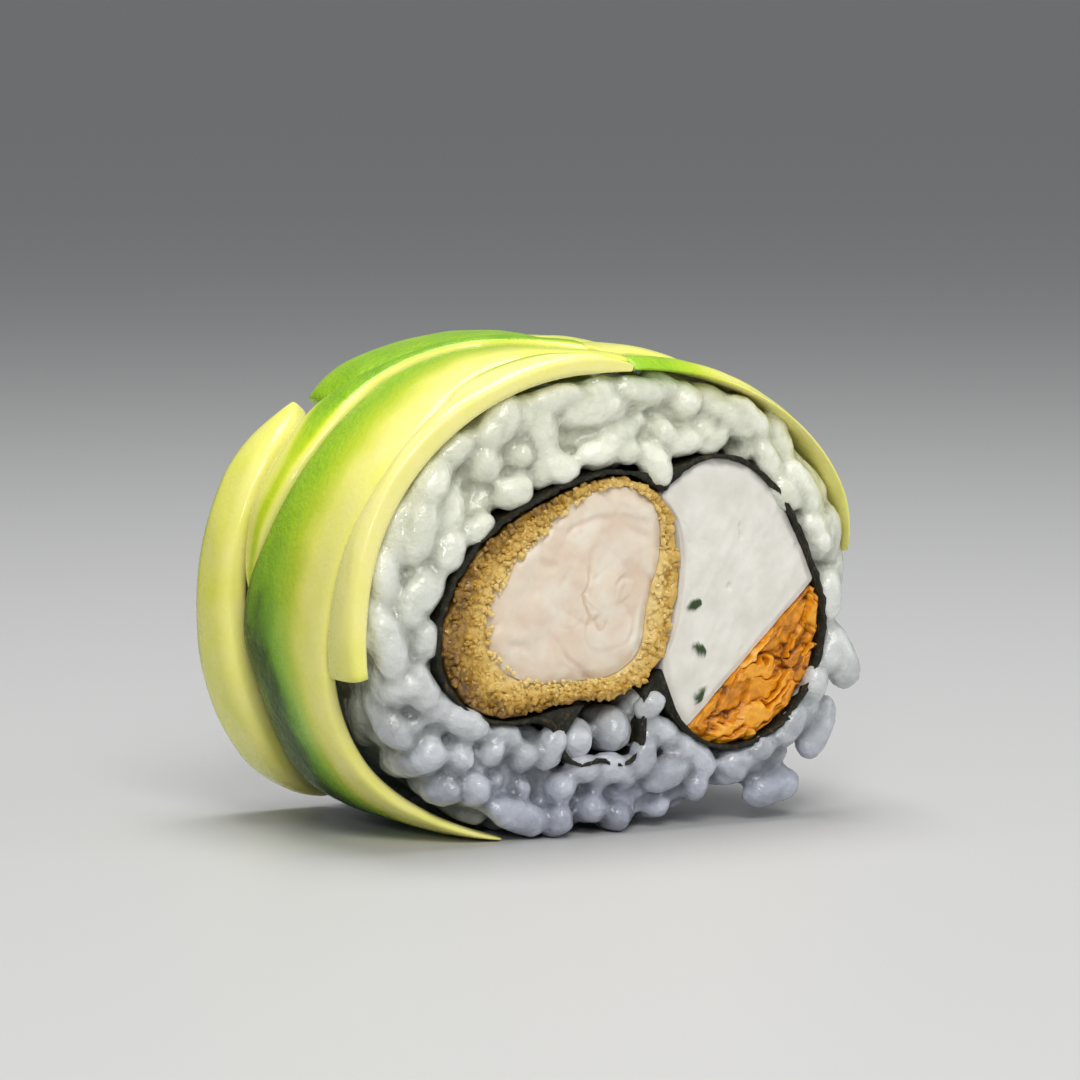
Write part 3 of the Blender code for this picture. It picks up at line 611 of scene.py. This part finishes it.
def make_rice(look):
    draw = random.Random(GRAIN_SEED)
    front, back = [], []
    laid = resized(face_grains(-1, draw, front) + face_grains(1, draw, back), 1.09, -0.05 * MM)
    laid += barrel_grains(draw) + loose_grains()
    filled = face_grains(-1, draw, front, fill=True) + face_grains(1, draw, back, fill=True)
    laid += resized(filled, 1.0, 0.55 * MM)
    laid += rim_grains(draw) + edge_grains(draw)
    hole_grow = NORI_SLACK + NORI_THICKNESS + GAP
    hole = outline_of(filling_distance, NORI_CENTRE, CORE_SIDES, hole_grow)
    outer = []
    for number in range(CORE_SIDES):
        angle = 2 * pi * number / CORE_SIDES
        covered = 12 < degrees(angle) < 184
        inset = CORE_INSET * (0.3 if covered else 0.8)
        spot = on_roll(angle, rice_radius(angle, inset), 0)
        while inset > 0 and filling_distance(spot.x, spot.z) < hole_grow + CORE_WALL:
            inset -= 0.1 * MM
            spot = on_roll(angle, rice_radius(angle, inset), 0)
        outer.append((spot.x, max(spot.z, 0.3 * MM)))
    core = ring_block(outer, hole, CORE_HALF_LENGTH - 0.5 * MM)
    sole = [Vector((x * MM, y * MM, z * MM)) for z in (0.0, SOLE_HEIGHT) for x, y in SOLE_CORNERS]
    melted_grains("rice_grains", laid, draw, [core, (sole, loft_faces(2, 4))], look, "rice")
    melted_grains("inner_rice_grains", inner_grains(draw), draw, [], look, "inner_rice")


# Nori


def make_nori(look):
    count, rows = NORI_SIDES, NORI_ROWS
    inner = outline_of(lambda x, z: filling_distance(x, z, NORI_TUCK), NORI_CENTRE, count, NORI_SLACK * 0.5)
    outer = outline_of(filling_distance, NORI_CENTRE, count, NORI_SLACK + NORI_THICKNESS * 0.6)
    points = []
    half = FILLING_HALF_LENGTH
    for way, outline in ((1, outer), (-1, inner)):
        for row in range(rows):
            y0 = way * half * (2 * row / (rows - 1) - 1)
            edge = abs(y0) / half
            for x, z in outline:
                ragged = 0.35 * MM * bumps((x, 0, z), 1.3 * MM, 4) + 0.25 * MM * bumps((x, 0, z), 0.5 * MM, 6)
                y = y0 + copysign((ragged - 0.35 * MM) * step(0.8, 1.0, edge), y0)
                dx, dz = x - NORI_CENTRE[0], z - NORI_CENTRE[1]
                far = hypot(dx, dz)
                crinkle = 0.16 * MM * bumps((x, y, z), 0.9 * MM, 12)
                crinkle += 0.08 * MM * bumps((x, y, z), 0.4 * MM, 15)
                points.append(Vector((x + dx / far * crinkle, y, z + dz / far * crinkle)))
    nori = make_piece("nori_skin", points, loft_faces(2 * rows, count, ring=True), look)
    set_normals(nori)
    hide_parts("nori_sheet")
    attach(nori, "root")


# Filling


def crag(x, y, z, seed):
    return noise.noise(Vector((x, y, z)) / (2.6 * MM) + Vector((seed, 0, 0)))


def toasting(x):
    """The batter is browner at the left than at the right."""
    return 1.15 - 0.5 * step(-12 * MM, 4 * MM, x)


def make_batter(look):
    sides, stations, face_rows = BATTER_SIDES, BATTER_STATIONS, BATTER_FACE_ROWS
    depth = FILLING_HALF_LENGTH
    rim, bore = shape_ring(BATTER, sides), shape_ring(PRAWN, sides, 0.05 * MM)
    centre = Vector(BATTER[0])
    points, toast = [], []

    def outer_point(x, y, z):
        way = (Vector((x, z)) - centre).normalized()
        inward = 0.9 * MM * (0.5 + 0.5 * crag(x, y, z, 3))
        inward += 0.35 * MM * bumps((x, y, z), 1.1 * MM, 5) + 0.2 * MM * bumps((x, y, z), 0.5 * MM, 7)
        return Vector((x - way.x * inward, y, z - way.y * inward))

    for row in range(stations + 1):
        y = depth * (-1 + 2 * row / stations)
        for x, z in rim:
            points.append(outer_point(x, y, z))
            toast.append(1.0)
    for side in (1, -1):
        order = range(1, face_rows + 1) if side == 1 else range(face_rows, 0, -1)
        for row in order:
            share = row / face_rows
            for (x, z), (bx, bz) in zip(rim, bore):
                edge = outer_point(x, side * depth, z)
                spot = edge.lerp(Vector((bx, side * depth, bz)), share)
                middle = sin(pi * share) ** 0.5 if share < 1 else 0.0
                lift = 0.1 * MM + 0.5 * MM * crag(spot.x * 1.7, spot.y, spot.z * 1.7, 8)
                lift += 0.30 * MM * bumps(spot, 0.9 * MM, 21) + 0.22 * MM * bumps(spot, 0.42 * MM, 25)
                spot.y += side * (lift * (0.35 + 0.65 * middle) - 0.35 * MM * step(0.8, 1.0, share))
                points.append(spot)
                toast.append(min((1.0 - share) ** 0.8 * toasting(spot.x), 1.0))
    faces = loft_faces(stations + 1 + 2 * face_rows, sides, ring=True)
    batter = make_piece("batter_crumb", points, faces, look, {"toast": toast})
    set_normals(batter)
    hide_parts("tempura_batter")
    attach(batter, "root")


def make_crumbs(look):
    """Crisp bits of batter on both cut faces, thickest at the outer edge and on the left."""
    draw = random.Random(CRUMB_SEED)
    gold = (1 + 5**0.5) / 2
    corners = [
        Vector(p).normalized()
        for a in (-1, 1)
        for b in (-gold, gold)
        for p in ((0, a, b), (a, b, 0), (b, 0, a))
    ]
    sides = []
    for i in range(12):
        for j in range(i + 1, 12):
            for k in range(j + 1, 12):
                if all((corners[p] - corners[q]).length < 1.2 for p, q in ((i, j), (j, k), (i, k))):
                    sides.append((i, j, k))
    points, faces, toast = [], [], []
    for side in (-1, 1):
        placed = 0
        while placed < CRUMBS_ON_A_FACE:
            angle = draw.uniform(0, 2 * pi)
            share = 1.1 * draw.random() ** 1.1
            left = 0.5 - 0.5 * cos(angle - 0.4)
            if draw.random() > 0.35 + 0.65 * left or share > 0.98 + 0.12 * left:
                continue
            rim_x, rim_z = shape_point(BATTER, angle, -0.4 * MM)
            bore_x, bore_z = shape_point(PRAWN, angle)
            spot = Vector((rim_x, 0, rim_z)).lerp(Vector((bore_x, 0, bore_z)), share)
            size = draw.uniform(0.16, 0.42) * MM * (1.15 - 0.4 * share)
            lift = 0.1 * MM + 0.5 * MM * crag(spot.x * 1.7, side * FILLING_HALF_LENGTH, spot.z * 1.7, 8)
            spot.y = side * (FILLING_HALF_LENGTH + max(lift, -0.2 * MM) + draw.uniform(-0.15, 0.25) * MM)
            base, seed = len(points), draw.uniform(0, 90)
            flat = Vector((draw.uniform(0.6, 1.3), draw.uniform(0.6, 1.1), draw.uniform(0.6, 1.3)))
            for corner in corners:
                reach = size * (1 + 0.55 * noise.noise(corner * 1.7 + Vector((seed, 0, 0))))
                points.append(spot + corner * flat * reach)
                tone = (1.0 - 0.9 * share) * toasting(spot.x) + draw.uniform(-0.1, 0.1)
                toast.append(min(max(tone, 0.0), 1.0))
            faces += [tuple(base + corner for corner in face) for face in sides]
            placed += 1
    crumbs = make_piece("batter_crumbs", points, faces, look, {"toast": toast})
    set_normals(crumbs)
    crumbs.data.shade_flat()
    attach(crumbs, "root")


def capped_block(name, outline, centre, half, relief, mark, look, cap_rows=FACE_ROWS):
    """A block along the roll with finely worked cut faces: relief gives how far a face point stands out."""
    stations = BLOCK_STATIONS
    points, values = [], []
    sides = len(outline)
    middle = Vector(centre)

    def add(x, y, z):
        points.append(Vector((x, y, z)))
        values.append(mark(x, y, z))

    def cap(side, order):
        for row in order:
            share = (row + 0.35) / cap_rows
            for x, z in outline:
                spot = middle.lerp(Vector((x, z)), share)
                add(spot.x, side * (half + relief(spot.x, spot.y, side, share)), spot.y)

    cap(-1, range(cap_rows))
    for row in range(stations + 1):
        y = half * (-1 + 2 * row / stations)
        for x, z in outline:
            if row in (0, stations):
                y = copysign(half + relief(x, z, copysign(1, y), 1.0), y)
            add(x, y, z)
    cap(1, reversed(range(cap_rows)))
    made = make_piece(name, points, loft_faces(stations + 1 + 2 * cap_rows, sides), look, {"mark": values})
    set_normals(made)
    return made


def crease(x, z, side):
    """Depth from 0 to 1 of the curved creases in the prawn's meat."""
    dx, dz = x - CREASE_CENTRE[0], z - CREASE_CENTRE[1]
    far, angle = hypot(dx, dz), atan2(dz, dx)
    lean = Vector((far / (2.5 * MM), 1.1 * cos(angle + 0.6), 1.1 * sin(angle + 0.6) + 7.0 * side))
    lean.x += 0.5 * bumps((x, side * 5 * MM, z), 3.2 * MM, 31)
    line = noise.noise(lean * 0.85)
    second = noise.noise(lean * 1.5 + Vector((11.0, 4.0, 2.0)))
    broken = step(-0.15, 0.25, bumps((x, side * 3 * MM, z), 3.0 * MM, 44))
    deep = exp(-((line / 0.075) ** 2)) + 0.35 * exp(-((second / 0.06) ** 2)) * broken
    return min(deep, 1.0) * step(0.3 * MM, 1.4 * MM, far) * (0.35 + 0.65 * broken)


def make_prawn(look):
    def relief(x, z, side, share):
        spot = (x, side * MM, z)
        dome = 0.38 * MM * (1 - share**2.2) - 0.30 * MM * step(0.86, 1.0, share)
        soft = 0.22 * MM * bumps(spot, 2.8 * MM, 51) + 0.07 * MM * bumps(spot, 0.9 * MM, 55)
        torn = step(0.6, 0.95, share) * step(0.0, 6 * MM, -x + 2 * MM)
        shreds = 0.22 * MM * bumps(spot, 1.3 * MM, 58) * torn
        folds = 0.30 * MM * noise.noise(Vector((x / (2.2 * MM), z / (4.5 * MM), side * 6.0)))
        return dome + soft + shreds + folds - 0.22 * MM * crease(x, z, side)

    def creased(x, y, z):
        return crease(x, z, copysign(1, y))

    outline = shape_ring(PRAWN, PRAWN_SIDES)
    prawn = capped_block("prawn_meat", outline, PRAWN[0], FILLING_HALF_LENGTH, relief, creased, look)
    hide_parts("tempura_prawn")
    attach(prawn, "root")


def fleck_mark(x, y, z):
    """1 where a fleck of chive lies, 0 elsewhere."""
    if abs(y) < FILLING_HALF_LENGTH - 1.2 * MM:
        return 0.0
    found = 0.0
    for fx, fz, turn in FLECKS:
        c, s = cos(radians(turn)), sin(radians(turn))
        dx, dz = x - fx * MM, z - fz * MM
        u, v = (dx * c + dz * s) / FLECK_SIZE[0], (-dx * s + dz * c) / FLECK_SIZE[1]
        far = hypot(u, v) + 0.25 * bumps((x, 0, z), 0.5 * MM, 61)
        found = max(found, 1 - step(0.75, 1.0, far))
    return found


def make_cheese(look):
    outline = outline_of(cheese_distance, CHEESE_CENTRE, FACE_SIDES, 0.12 * MM, 18 * MM)

    def relief(x, z, side, share):
        spot = (x, side * MM, z)
        slant = Vector((0.5, 0.866))
        u, v = (x * slant.x + z * slant.y), (-x * slant.y + z * slant.x)
        drag = 0.10 * MM * noise.noise(Vector((u / (5 * MM), v / (0.8 * MM), side * 3.0)))
        soft = 0.16 * MM * bumps(spot, 3.2 * MM, 71) + 0.05 * MM * bumps(spot, 0.7 * MM, 74)
        pits = -0.25 * MM * step(0.52, 0.75, bumps(spot, 1.1 * MM, 77))
        fleck = 0.30 * MM * fleck_mark(x, side * FILLING_HALF_LENGTH, z)
        return drag + soft + pits + fleck - 0.35 * MM * step(0.9, 1.0, share)

    half = FILLING_HALF_LENGTH
    cheese = capped_block("cream_cheese_face", outline, CHEESE_CENTRE, half, relief, fleck_mark, look)
    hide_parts("cream_cheese")
    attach(cheese, "root")


def flake_relief(x, z, side):
    """Layers of cooked salmon that rise to the right: how far they stand out, crevice and tone."""
    spot = (x, side * MM, z)
    c, s = cos(FLAKE_SLOPE), sin(FLAKE_SLOPE)
    wobble = 0.7 * bumps(spot, 2.1 * MM, 83) + 0.3 * bumps(spot, 0.8 * MM, 85)
    u = (x * c + z * s) / (3.9 * MM) + wobble * 0.5
    v = (-x * s + z * c) / (1.5 * MM) + wobble
    at = Vector((u, v, side * 4.0))
    far, hearts = noise.voronoi(at)
    edge = far[1] - far[0]
    key = noise.noise(hearts[0] * 7.3)
    tilt = noise.noise(hearts[0] * 5.1 + Vector((3.0, 9.0, 1.0)))
    off = at - hearts[0]
    rise = 0.9 * MM * key + 0.7 * MM * off.y * (0.6 + tilt) + 0.35 * MM * off.x * tilt * 2
    crevice = exp(-((edge / 0.09) ** 2)) * step(-0.35, 0.1, noise.noise(Vector((u * 0.8, v * 0.8, 7.0))))
    fibre = 0.06 * MM * bumps((u * MM, 0, v * 3 * MM), 0.9 * MM, 87) + 0.09 * MM * bumps(spot, 0.45 * MM, 89)
    return rise - 0.8 * MM * crevice + fibre, crevice, key


def make_salmon(look):
    outline = outline_of(salmon_distance, SALMON_CENTRE, FACE_SIDES, 0.1 * MM, 14 * MM)

    def relief(x, z, side, share):
        return 0.15 * MM + flake_relief(x, z, side)[0] - 0.6 * MM * step(0.9, 1.0, share)

    def flake_tone_and_crevice_shade(x, y, z):
        _, crevice, key = flake_relief(x, z, copysign(1, y))
        # Each flake's own tone, less painted shade in the crevices between flakes.
        return 0.50 + 0.60 * key - 0.42 * crevice

    half = FILLING_HALF_LENGTH - 0.2 * MM
    salmon = capped_block("salmon_flakes", outline, SALMON_CENTRE, half, relief, flake_tone_and_crevice_shade, look, SALMON_ROWS)
    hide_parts("salmon")
    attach(salmon, "root")


# Avocado


def end_share(share, ends):
    first = (1 - ends[0]) * max(0, 1 - share / SLICE_TAPER) ** 2
    last = (1 - ends[1]) * max(0, 1 - (1 - share) / SLICE_TAPER) ** 2
    return 1 - first - last


def greenness(name, across, share):
    """How green the flesh is, from 0 at its cream-yellow heart to 1 at the skin side; on slice 2 it also
    holds painted shade, a darker green on the lower part.
    """
    number = int(name[-1])
    if number == 1:
        line = -0.9 + 3.6 * share
        rim = step(line, line + 0.5, across) * (1 - step(0.34, 0.48, share))
        return 0.04 + 0.66 * rim + 0.10 * step(0.5, 1.0, across) + 0.10 * step(0.85, 1.0, share)
    if number == 2:
        top = 1 - step(0.0, 0.25, share)
        # Painted shade: the lower part of this slice is made a darker green, for the shadow low on the roll.
        low = (0.56 * step(0.45, 0.80, share) - 0.25 * step(0.88, 0.98, share)) * step(-0.9, 0.0, across)
        skin_side = (0.60 - 0.16 * top) * step(-0.75, 0.6, across) + 0.18 * step(0.7, 1.0, across)
        return 0.08 + 0.14 * top + low + skin_side
    if number == 3:
        low = step(0.50, 0.75, share)
        band = step(-0.95, -0.6, across) * (1 - step(0.45 - 0.9 * low, 0.95 - 0.9 * low, across))
        return 0.12 + 0.66 * band * (1 - 0.5 * low) + 0.12 * step(0.7, 1.0, across)
    if number == 4:
        return 0.74 - 0.5 * (1 - step(-0.97, -0.8, across)) - 0.10 * step(0.2, 0.9, across)
    if number == 5:
        return 0.17 + 0.42 * step(0.35, 1.0, across) - 0.08 * (1 - step(-0.9, -0.4, across))
    if number == 6:
        return 0.14 + 0.56 * step(0.62, 0.90, share) + 0.24 * step(0.1, 1.0, across)
    if number == 7:
        return 0.16 + 0.66 * step(0.0, 1.0, across) ** 1.4
    return 0.20 + 0.58 * step(-0.1, 1.0, across) ** 1.2


def slice_section(name, front, back, angle, thickness, width, shrink, share):
    """Points round one section of a slice, from its inner side to its outer, and how green each is."""
    start = seam_y(front, angle) + SEAM_GAP / 2
    end = seam_y(back, angle) - SEAM_GAP / 2
    turn = radians(angle)
    points, green = [], []
    number = int(name[-1])
    for side in range(SLICE_SIDES):
        way = 2 * pi * (side + 0.5) / SLICE_SIDES
        c, s = cos(way), sin(way)
        across = copysign(abs(c) ** (2 / SLICE_EDGE), c)
        up = copysign(abs(s) ** (2 / SLICE_EDGE), s)
        y = (start + end) / 2 + across * width * shrink * (end - start) / 2 * 1.012
        outward = 0.0
        if up > 0:
            along, apart = turn * SLICE_RADIUS, number * 5 * MM
            swell = 0.10 * MM * bumps((along, y, apart), 3.2 * MM, 91)
            fibre = 0.045 * MM * bumps((along * 0.35, y * 2.2, apart), 1.1 * MM, 93)
            outward = up * (swell + fibre - 0.12 * MM * across * across)
        deep = thickness * (0.42 + 0.58 * step(-0.98, -0.35, across)) if number == 6 else thickness
        radius = rice_radius(turn) + AVOCADO_CLEARANCE + deep * (0.5 + 0.5 * up * shrink) + outward * shrink
        point = on_roll(turn, radius, y)
        point.z = max(point.z, FLOOR_CLEARANCE)
        points.append(point)
        tone = greenness(name, across, share) + 0.07 * bumps((turn * SLICE_RADIUS, y, 0), 2.6 * MM, 97)
        tone -= 0.10 * (1 - step(-0.9, 0.2, up)) * (1 if across < 0 else 0)
        green.append(min(max(tone, 0.0), 1.0))
    return points, green


def make_slice(name, look):
    front, back, first, last, thickness, thin, narrow = SLICES[name]
    count = max(20, round((last - first) / SLICE_STEP))
    plan = [(0.0, shrink, -past) for shrink, past in ROUNDED_END]
    plan += [(number / count, 1.0, 0.0) for number in range(count + 1)]
    plan += [(1.0, shrink, past) for shrink, past in reversed(ROUNDED_END)]
    points, green = [], []
    for share, shrink, past in plan:
        angle = first + (last - first) * share + past
        deep, width = thickness * MM * end_share(share, thin), end_share(share, narrow)
        section, tones = slice_section(name, front, back, angle, deep, width, shrink, share)
        points += section
        green += tones
    faces = loft_faces(len(plan), SLICE_SIDES)
    made = make_piece(name.replace("avocado_", "avocado_flesh_"), points, faces, look, {"green": green})
    set_normals(made)
    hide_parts(name)
    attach(made, "root")


# Materials


class Look:
    """A procedural material built from a few kinds of node."""

    def __init__(self, name):
        self.material = bpy.data.materials.new(name)
        self.material.use_nodes = True
        self.tree = self.material.node_tree
        self.shader = self.tree.nodes["Principled BSDF"]
        self.place = self.tree.nodes.new("ShaderNodeTexCoord").outputs["Object"]

    def feed(self, socket, value):
        """Links a socket to another, or sets its plain value."""
        if isinstance(value, bpy.types.NodeSocket):
            self.tree.links.new(value, socket)
        else:
            socket.default_value = value

    def add(self, kind, values):
        """A node of a kind, with its inputs linked or set."""
        node = self.tree.nodes.new("ShaderNode" + kind)
        for name, value in values.items():
            self.feed(node.inputs[name], value)
        return node

    def put(self, name, value):
        self.feed(self.shader.inputs[name], value)

    def under_skin(self, weight, radius, scale):
        self.put("Subsurface Weight", weight)
        self.put("Subsurface Radius", radius)
        self.put("Subsurface Scale", scale)

    def coat(self, weight, rough):
        self.put("Coat Weight", weight)
        self.put("Coat Roughness", rough)

    def noise(self, size, detail=3.0, rough=0.5, warp=0.0):
        values = {"Vector": self.place, "Scale": 1 / size, "Detail": detail}
        return self.add("TexNoise", values | {"Roughness": rough, "Distortion": warp}).outputs["Fac"]

    def height(self):
        return self.add("SeparateXYZ", {"Vector": self.place}).outputs["Z"]

    def value(self, name):
        node = self.add("Attribute", {})
        node.attribute_name = name
        return node.outputs["Fac"]

    def ramp(self, factor, stops):
        node = self.add("ValToRGB", {"Fac": factor})
        ramp = node.color_ramp
        while len(ramp.elements) < len(stops):
            ramp.elements.new(0.5)
        for element, (position, colour) in zip(ramp.elements, stops):
            element.position = position
            element.color = (*colour, 1.0)
        return node.outputs["Color"]

    def grey(self, factor, low, high, start=0.0, end=1.0):
        values = {"Value": factor, "From Min": start, "From Max": end, "To Min": low, "To Max": high}
        return self.add("MapRange", values).outputs["Result"]

    def work_out(self, kind, a, b):
        node = self.add("Math", {0: a, 1: b})
        node.operation = kind
        return node.outputs["Value"]

    def centred(self, value):
        return self.work_out("SUBTRACT", value, 0.5)

    def total(self, *parts):
        """Adds up values, each with its weight."""
        weighed = [self.work_out("MULTIPLY", value, weight) for value, weight in parts]
        added = weighed[0]
        for part in weighed[1:]:
            added = self.work_out("ADD", added, part)
        return added

    def mix(self, factor, a, b):
        """A colour between socket a and b, which is a socket or a plain colour."""
        node = self.tree.nodes.new("ShaderNodeMix")
        node.data_type = "RGBA"
        plain = not isinstance(b, bpy.types.NodeSocket)
        for number, value in ((0, factor), (6, a), (7, (*b, 1.0) if plain else b)):
            self.feed(node.inputs[number], value)
        return node.outputs[2]

    def bump(self, height, strength, distance, under=None):
        node = self.add("Bump", {"Height": height, "Strength": strength, "Distance": distance})
        if under:
            self.feed(node.inputs["Normal"], under)
        return node.outputs["Normal"]


def rice_look():
    look = Look("cooked_rice")
    mixed = look.total((look.value("tone"), 0.45), (look.noise(1.6 * MM, 3), 0.55))
    # Painted shade: points deep in the dips between grains get a darker tone.
    mixed = look.work_out("ADD", mixed, look.grey(look.value("hollow"), 0.22, -0.30, 0.0, 0.9))
    # Painted light and shade by height: the rice is darker and bluer low down and lighter and warmer towards
    # the top.
    low = look.ramp(mixed, [(0.0, (0.13, 0.15, 0.18)), (0.4, (0.27, 0.29, 0.35)), (0.9, (0.50, 0.53, 0.61))])
    high = look.ramp(mixed, [(0.0, (0.40, 0.41, 0.32)), (0.4, (0.64, 0.66, 0.53)), (0.9, (0.86, 0.87, 0.74))])
    look.put("Base Color", look.mix(look.grey(look.height(), 0.0, 1.0, 3 * MM, 30 * MM), low, high))
    look.under_skin(0.45, (1.0, 0.98, 0.9), 1.2 * MM)
    look.put("Roughness", 0.24)
    look.coat(0.5, 0.07)
    look.put("Normal", look.bump(look.noise(1.0 * MM, 4, 0.55), 0.80, 0.42 * MM))
    return look.material


def nori_look():
    look = Look("nori")
    grain = look.noise(0.6 * MM, 6, 0.7, 0.6)
    # Near-black with brown flecks at the grain's peaks: partly the nori's own brown tone, partly painted gold
    # glints.
    colour = look.ramp(
        grain, [(0.35, (0.003, 0.004, 0.002)), (0.55, (0.014, 0.014, 0.006)), (0.68, (0.11, 0.075, 0.018))]
    )
    look.put("Base Color", colour)
    look.put("Specular IOR Level", 0.35)
    look.put("Roughness", look.grey(grain, 0.55, 0.25, 0.4, 0.7))
    look.put("Normal", look.bump(look.noise(0.3 * MM, 5, 0.7), 0.9, 0.25 * MM))
    return look.material


def batter_look():
    look = Look("fried_batter")
    patch = look.noise(2.2 * MM, 4, 0.6, 0.3)
    crumb = look.noise(0.45 * MM, 5, 0.65)
    baked = look.total((look.value("toast"), 0.62), (patch, 0.55), (look.centred(crumb), 0.5))
    colour = look.ramp(
        baked,
        [
            (0.16, (0.86, 0.68, 0.33)),
            (0.40, (0.80, 0.57, 0.17)),
            (0.66, (0.62, 0.375, 0.060)),
            (0.86, (0.33, 0.175, 0.020)),
            (1.00, (0.12, 0.055, 0.010)),
        ],
    )
    look.put("Base Color", colour)
    look.put("Roughness", look.grey(crumb, 0.18, 0.5, 0.35, 0.65))
    look.coat(0.45, 0.12)
    fine = look.bump(look.noise(0.16 * MM, 4, 0.6), 0.5, 0.08 * MM)
    look.put("Normal", look.bump(crumb, 0.7, 0.25 * MM, fine))
    return look.material


def prawn_look():
    look = Look("prawn_meat")
    cloud = look.noise(3.0 * MM, 3, 0.5, 0.4)
    fibre = look.noise(0.7 * MM, 4, 0.6, 1.0)
    colour = look.ramp(
        cloud, [(0.3, (0.74, 0.60, 0.47)), (0.5, (0.78, 0.68, 0.55)), (0.72, (0.82, 0.76, 0.65))]
    )
    colour = look.mix(look.total((look.value("mark"), 0.32)), colour, (0.66, 0.46, 0.33))
    look.put("Base Color", colour)
    look.under_skin(0.45, (1.0, 0.7, 0.5), 1.4 * MM)
    look.put("Roughness", look.grey(fibre, 0.28, 0.5))
    look.coat(0.15, 0.25)
    look.put("Normal", look.bump(fibre, 0.3, 0.12 * MM))
    return look.material


def cheese_look():
    look = Look("cream_cheese")
    colour = look.ramp(look.noise(2.4 * MM, 4), [(0.3, (0.70, 0.68, 0.61)), (0.7, (0.82, 0.80, 0.74))])
    colour = look.mix(look.value("mark"), colour, (0.025, 0.06, 0.012))
    look.put("Base Color", colour)
    look.under_skin(0.3, (1.0, 0.9, 0.75), 1.0 * MM)
    look.put("Roughness", 0.42)
    look.put("Normal", look.bump(look.noise(0.5 * MM, 4), 0.25, 0.1 * MM))
    return look.material


def salmon_look():
    look = Look("cooked_salmon")
    cloud = look.noise(1.2 * MM, 5, 0.65, 0.6)
    # The mark holds each flake's own tone and painted shade in the crevices between flakes.
    tone = look.total((look.value("mark"), 0.8), (look.centred(cloud), 0.9))
    colour = look.ramp(
        tone,
        [
            (0.00, (0.22, 0.060, 0.002)),
            (0.16, (0.58, 0.20, 0.002)),
            (0.36, (0.84, 0.33, 0.006)),
            (0.58, (0.93, 0.45, 0.04)),
            (0.78, (0.98, 0.68, 0.32)),
        ],
    )
    look.put("Base Color", colour)
    look.put("Roughness", look.grey(cloud, 0.22, 0.5))
    look.coat(0.08, 0.2)
    look.put("Normal", look.bump(look.noise(0.35 * MM, 4, 0.6), 0.5, 0.15 * MM))
    return look.material


def avocado_look():
    look = Look("avocado_flesh")
    green = look.value("green")
    cloud = look.noise(2.0 * MM, 3, 0.55, 0.3)
    tone = look.work_out("ADD", green, look.total((look.centred(cloud), 0.16)))
    colour = look.ramp(
        tone,
        [
            (0.0, (0.90, 0.84, 0.30)),
            (0.2, (0.80, 0.80, 0.12)),
            (0.42, (0.52, 0.65, 0.012)),
            (0.66, (0.32, 0.56, 0.0)),
            (0.85, (0.16, 0.37, 0.0)),
            (1.0, (0.035, 0.085, 0.0)),
        ],
    )
    look.put("Base Color", colour)
    look.put("Roughness", look.grey(cloud, 0.20, 0.36, 0.3, 0.7))
    look.put("Specular IOR Level", look.grey(green, 0.35, 0.15, 0.6, 0.9))
    look.coat(look.grey(green, 0.25, 0.04, 0.6, 0.9), 0.08)
    strength = look.grey(green, 0.12, 0.9, 0.3, 0.8)
    fine = look.bump(look.noise(0.6 * MM, 4, 0.6), strength, 0.30 * MM)
    look.put("Normal", look.bump(look.noise(0.25 * MM, 3), 0.15, 0.06 * MM, fine))
    return look.material


# Stage


def add_camera():
    flat = cos(VIEW_DROP)
    back = Vector((sin(VIEW_TURN) * flat, -cos(VIEW_TURN) * flat, sin(VIEW_DROP)))
    right = (-back).cross(Vector((0, 0, 1))).normalized()
    up = right.cross(-back)
    data = bpy.data.cameras.new("camera")
    data.sensor_width = SENSOR
    data.lens = SENSOR * VIEW_DISTANCE / MM * PIXELS_A_MM / PHOTO_SIZE
    data.clip_start = 0.01
    camera = bpy.data.objects.new("camera", data)
    bpy.context.scene.collection.objects.link(camera)
    place = Vector((0, 0, VIEW_HEIGHT)) + back * VIEW_DISTANCE + up * (VIEW_SHIFT / PIXELS_A_MM * MM)
    turn = Matrix((right, up, back)).transposed().to_4x4()
    camera.matrix_world = Matrix.Translation(place) @ turn
    bpy.context.scene.camera = camera


def add_light(name, place, size, power, colour):
    data = bpy.data.lights.new(name, "AREA")
    data.shape = "RECTANGLE"
    data.size, data.size_y = size
    data.energy = power
    data.color = colour
    light = bpy.data.objects.new(name, data)
    bpy.context.scene.collection.objects.link(light)
    light.location = place
    light.rotation_euler = (LIGHT_AIM - Vector(place)).to_track_quat("-Z", "Y").to_euler()


def add_stage():
    look = Look("floor")
    look.put("Base Color", (0.50, 0.50, 0.495, 1))
    look.put("Roughness", 0.5)
    mesh = bpy.data.meshes.new("floor")
    corners = [(x * FLOOR_HALF, y * FLOOR_HALF, 0) for x, y in ((-1, -1), (1, -1), (1, 1), (-1, 1))]
    mesh.from_pydata(corners, [], [(0, 1, 2, 3)])
    mesh.materials.append(look.material)
    floor = bpy.data.objects.new("floor", mesh)
    bpy.context.scene.collection.objects.link(floor)
    floor.location.z = -FLOOR_DROP
    world = bpy.data.worlds.new("studio")
    world.use_nodes = True
    background = world.node_tree.nodes["Background"]
    background.inputs["Color"].default_value = WORLD_COLOUR
    background.inputs["Strength"].default_value = WORLD_STRENGTH
    bpy.context.scene.world = world
    for light in LIGHTS:
        add_light(*light)
    bpy.context.scene.view_settings.view_transform = "Standard"
    bpy.context.scene.view_settings.exposure = 0.0


make_rice(rice_look())
make_nori(nori_look())
fried = batter_look()
make_batter(fried)
make_crumbs(fried)
make_prawn(prawn_look())
make_cheese(cheese_look())
make_salmon(salmon_look())
avocado = avocado_look()
for slice_name in SLICES:
    make_slice(slice_name, avocado)
add_camera()
add_stage()
